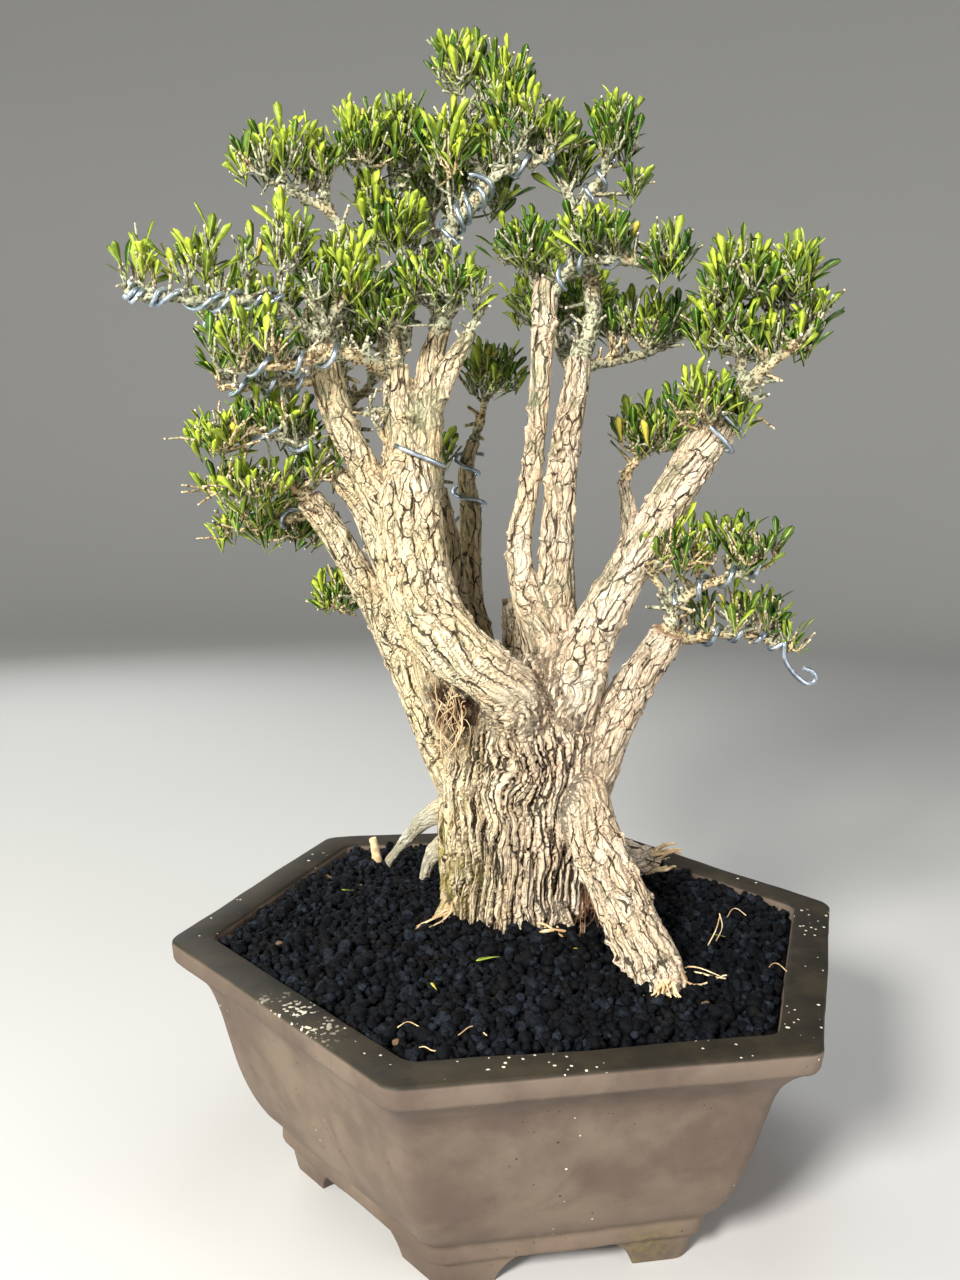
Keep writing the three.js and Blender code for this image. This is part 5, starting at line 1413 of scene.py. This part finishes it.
def leaf_green():
    material, tree, place = new_material("leaf_green")
    where = node(tree, "UVMap", {}, uv_map="UVMap")
    tone = attribute(tree, "tone")
    body = blend(tree, ease(tree, tone, 0.15, 0.75), colour(52, 88, 20), colour(180, 199, 60))
    body, _ = mottle(tree, place, 160.0, body, blend(tree, 0.55, body, colour(24, 48, 12)))
    # The base is paler, the midrib a thin light line, and an old leaf is yellow
    base = ramp(tree, axis(tree, where, "Y"), 0.35, 0.0, 0.55)
    body = blend(tree, base, body, colour(190, 200, 104))
    from_rib = maths(tree, "SUBTRACT", axis(tree, where, "X"), 0.5)
    rib = ramp(tree, maths(tree, "ABSOLUTE", from_rib), 0.07, 0.02, 0.5)
    body = blend(tree, rib, body, colour(196, 212, 112))
    body = blend(tree, ease(tree, tone, 0.93, 0.97), body, colour(208, 190, 78))
    veins = tangle(tree, place, 700.0, 2.0)
    surface(tree, body, [tone, 0.36, 0.52], [veins, 0.25, 0.0003], shine=0.36)
    return material


def clipped_wood():
    material, tree, place = new_material("clipped_wood")
    body, cloud = mottle(tree, place, 300.0, colour(184, 172, 142), colour(230, 222, 200))
    surface(tree, body, [cloud, 0.6, 0.8])
    return material


LEAF_GREEN = leaf_green()
CLIPPED_WOOD = clipped_wood()
for number, name in enumerate(SPRAYS):
    mesh = spray_mesh(name, 40 + number)
    kinds = [polygon.material_index for polygon in mesh.polygons]
    mesh.materials.clear()
    piece = finished("leafy_" + name, mesh, [TWIG_BARK, LEAF_GREEN, CLIPPED_WOOD],
                     ["spray_" + name])
    piece.data.polygons.foreach_set("material_index", kinds)

# Fallen leaves: a few that were clipped off and lie on the soil, the small ones dry and yellow.
# Each: its place, its turn in degrees, its length and its tone
FALLEN_LEAVES = [[-9, -66, 118, 12, 0.6], [31, -52, 95, 5, 1.0], [-36, -96, 30, 6, 1.0],
                 [104, -22, 60, 8, 0.4], [-92, 20, 140, 9, 0.7], [40, 96, 20, 11, 0.5]]


def fallen_leaves():
    bm = bmesh.new()
    for number, (x, y, turn, length, tone) in enumerate(FALLEN_LEAVES):
        matrix = (Matrix.Translation((x, y, soil_height(x, y) + 4.4))
                  @ Matrix.Rotation(math.radians(turn), 4, "Z")
                  @ Matrix.Rotation(math.radians(7), 4, "X") @ Matrix.Scale(length, 4))
        add_copy(bm, LEAF_SHAPES[number % len(LEAF_SHAPES)], matrix, tone)
    return mesh_of(bm, "fallen_leaves")


finished("fallen_leaves", fallen_leaves(), [LEAF_GREEN])

# Wires: soft aluminium training wire, wound by hand round branches that are being bent. Some
# lie in pairs. The cut ends stand off a little, and the lowest on the right ends in a loop.
WIRE_RADIUS = 1.25
POINTS_PER_TURN = 16
BARK_STAND_OFF = 1.3
TWIG_STAND_OFF = 0.35
END_BEND = 2.2
ROUTE_STEPS = 24
# Each wire: the spray or limb that it is wound round, which of its stems, where it starts and
# ends along it, its turns, and the angle that it starts at
WIRES = {
    "far_left": ["far_left", 0, 0.3, 0.94, 4, 0.4],
    "far_left_twin": ["far_left", 0, 0.3, 0.94, 4, 2.4],
    "left_second": ["left_second", 0, 0.3, 0.96, 3, 1.2],
    "left_third": ["left_third", 0, 0.3, 0.94, 3.2, 0.2],
    "left_fourth": ["left_fourth", 0, 0.3, 0.94, 2.6, 2],
    "left_lower": ["left_lower", 0, 0.3, 0.9, 2.4, 1],
    "left_hanging": ["left_hanging", 0, 0.25, 0.9, 2.8, 0],
    "apex": ["apex", 0, 0.2, 0.68, 2.8, 0.5],
    "apex_twin": ["apex", 0, 0.2, 0.68, 2.8, 2.9],
    "apex_right": ["apex", 1, 0.3, 0.92, 2.2, 1.5],
    "right_top": ["right_top", 0, 0.52, 0.84, 2.4, 0],
    "middle": ["middle", 0, 0.14, 0.66, 2.6, 2.4],
    "h_end": ["limb_h", 0, 0.78, 0.88, 1.6, 2.6],
    "right_shelf": ["right_shelf", 0, 0.3, 0.95, 3.2, 0],
    "right_low": ["right_low", 0, 0.2, 0.92, 4, 0.8],
    "back_centre": ["limb_e", 0, 0.62, 0.94, 2.4, 0],
    "cut_end": ["limb_a", 0, 0.98, 0.9, -0.4, -0.4],
}
WIRE_TAILS = {
    "right_low": [[126, -15, 147], [129, -14, 142], [134, -12, 137], [139, -11, 134],
                  [143, -11, 136], [141, -12, 140], [136, -14, 142]],
}


def station_route(stations, steps):
    """A route with the same number of steps between all its stations"""
    spots = [Vector(row[:3]) for row in stations]
    route = []
    for i, curve in enumerate(stretches(spots, steps)):
        for k in range(steps):
            share = k / steps
            route.append((curve[k], stations[i][3] * (1 - share) + stations[i + 1][3] * share))
    return route + [(spots[-1], stations[-1][3])]


def wire_route(name):
    holder, index, start, end, turns, phase = WIRES[name]
    on_limb = holder in LIMBS
    stations = LIMBS[holder] if on_limb else SPRAYS[holder]["stems"][index]
    route = station_route(stations, ROUTE_STEPS)
    steep = abs((route[-1][0] - route[0][0]).normalized().z) > 0.7
    reference = Vector((0, 1, 0)) if steep else Vector((0, 0, 1))
    stand_off = WIRE_RADIUS + (BARK_STAND_OFF if on_limb else TWIG_STAND_OFF)
    count = max(8, round(abs(turns) * POINTS_PER_TURN))
    points = []
    for k in range(count + 1):
        share = start + (end - start) * k / count
        at = share * (len(route) - 1)
        low = min(int(at), len(route) - 2)
        spot = route[low][0].lerp(route[low + 1][0], at - low)
        radius = route[low][1] + (route[low + 1][1] - route[low][1]) * (at - low)
        ahead = (route[low + 1][0] - route[low][0]).normalized()
        side = ahead.cross(reference).normalized()
        up = side.cross(ahead)
        angle = phase + k / count * turns * 2 * math.pi
        # The end is bent off the bark
        away = radius + stand_off + END_BEND * max(0, k - count + 2) / 2
        points.append(spot + side * away * math.cos(angle) + up * away * math.sin(angle))
    tail = [[*points[-1], 0]] + [[*spot, 0] for spot in WIRE_TAILS.get(name, [])]
    if len(tail) > 1:
        points += [spot for spot, _ in smooth_route(tail, 1.2)][1:]
    return [(spot, WIRE_RADIUS) for spot in points]


def aluminium_wire():
    material, tree, place = new_material("aluminium_wire")
    body, cloud = mottle(tree, place, 260.0, colour(140, 156, 172), colour(196, 206, 216))
    scratch = tangle(tree, place, 1200.0, 3.0)
    surface(tree, body, [cloud, 0.24, 0.46], [scratch, 0.15, 0.0002], metal=0.92)
    return material


WIRE_METAL = aluminium_wire()
for name in WIRES:
    finished("coil_" + name, tubes("coil_" + name, [wire_route(name)], 8), [WIRE_METAL],
             ["wire_" + name])

# Studio: a pale floor that curves up into a plain wall all round, and soft light from large
# lamps in front, at the left, where it is a little greener, and above.
WALL_RADIUS = 3.4
WALL_CURVE = 1.2
WALL_HEIGHT = 2.6
PAPER = (0.54, 0.54, 0.53, 1)
TARGET = (0, 0, 0.3)
# Each lamp: its place, size, power and tint
LAMPS = {
    "key": [(-0.66, -1.36, 1.0), 0.38, 60, (1.0, 0.97, 0.93)],
    "fill": [(1.3, -1.0, 0.6), 0.9, 13, (1.0, 0.97, 0.97)],
    "left": [(-1.6, -0.25, 0.45), 0.9, 11, (0.95, 1.0, 0.72)],
    "top": [(0.1, 0.2, 1.9), 0.8, 9, (1.0, 1.0, 1.0)],
    "rim": [(-0.9, 1.3, 0.9), 0.8, 8, (0.96, 0.98, 1.0)],
}
SKY = (0.9, 0.93, 1.0, 1)
SKY_STRENGTH = 0.14


def pale_stage():
    bm = bmesh.new()
    outline = [Vector((0, 0, 0)), Vector((WALL_RADIUS - WALL_CURVE, 0, 0))]
    outline += interpolate_bezier(
        Vector((WALL_RADIUS - WALL_CURVE, 0, 0)), Vector((WALL_RADIUS - WALL_CURVE * 0.4, 0, 0)),
        Vector((WALL_RADIUS, 0, WALL_CURVE * 0.4)), Vector((WALL_RADIUS, 0, WALL_CURVE)), 12)[1:]
    outline.append(Vector((WALL_RADIUS, 0, WALL_HEIGHT)))
    verts = [bm.verts.new(spot) for spot in outline]
    edges = [bm.edges.new(pair) for pair in zip(verts, verts[1:])]
    bmesh.ops.spin(bm, geom=verts + edges, cent=(0, 0, 0), axis=(0, 0, 1), angle=2 * math.pi,
                   steps=64, use_merge=True, dvec=(0, 0, 0))
    bmesh.ops.remove_doubles(bm, verts=bm.verts, dist=1e-5)
    bmesh.ops.recalc_face_normals(bm, faces=bm.faces)
    mesh = mesh_of(bm, "stage")
    mesh.polygons.foreach_set("use_smooth", [True] * len(mesh.polygons))
    material, tree, _ = new_material("stage_paper")
    filled(tree, tree.nodes["Principled BSDF"], {"Base Color": PAPER, "Roughness": 0.95})
    mesh.materials.append(material)
    holder_of("stage", mesh)


def lamp(name, spot, size, power, tint):
    data = bpy.data.lights.new(name, "AREA")
    data.shape = "DISK"
    data.size = size
    data.energy = power
    data.color = tint
    holder = holder_of(name, data)
    holder.location = spot
    way = Vector(TARGET) - Vector(spot)
    holder.rotation_euler = way.to_track_quat("-Z", "Y").to_euler()


pale_stage()
for name, (spot, size, power, tint) in LAMPS.items():
    lamp(name, spot, size, power, tint)
world = bpy.data.worlds.new("soft_sky")
world.use_nodes = True
filled(world.node_tree, world.node_tree.nodes["Background"], {"Color": SKY, "Strength": SKY_STRENGTH})
bpy.context.scene.world = world
# Colours as they are, with no film curve over them
bpy.context.scene.view_settings.view_transform = "Standard"

# Camera: as the photograph was taken, from a little above the soil and slightly to the right
CAMERA_SPOT = (1, -563, 223)
FOCAL_LENGTH = 1106
FRAME_LONG_SIDE = 1280
SENSOR = 36
YAW = math.radians(-2.7)
PITCH = math.radians(7.5)
ROLL = math.radians(1.6)
ahead = Vector((math.sin(YAW) * math.cos(PITCH), math.cos(YAW) * math.cos(PITCH), -math.sin(PITCH)))
level = Vector((math.cos(YAW), -math.sin(YAW), 0))
raised = level.cross(ahead)
right = level * math.cos(ROLL) + raised * math.sin(ROLL)
upward = raised * math.cos(ROLL) - level * math.sin(ROLL)
data = bpy.data.cameras.new("camera")
data.sensor_fit = "AUTO"
data.sensor_width = SENSOR
data.lens = FOCAL_LENGTH / FRAME_LONG_SIDE * SENSOR
data.clip_start = 0.01
camera = holder_of("camera", data)
camera.matrix_world = (Matrix.Translation(IN_FRAME @ Vector(CAMERA_SPOT))
                       @ Matrix((right, upward, -ahead)).transposed().to_4x4())
bpy.context.scene.camera = camera
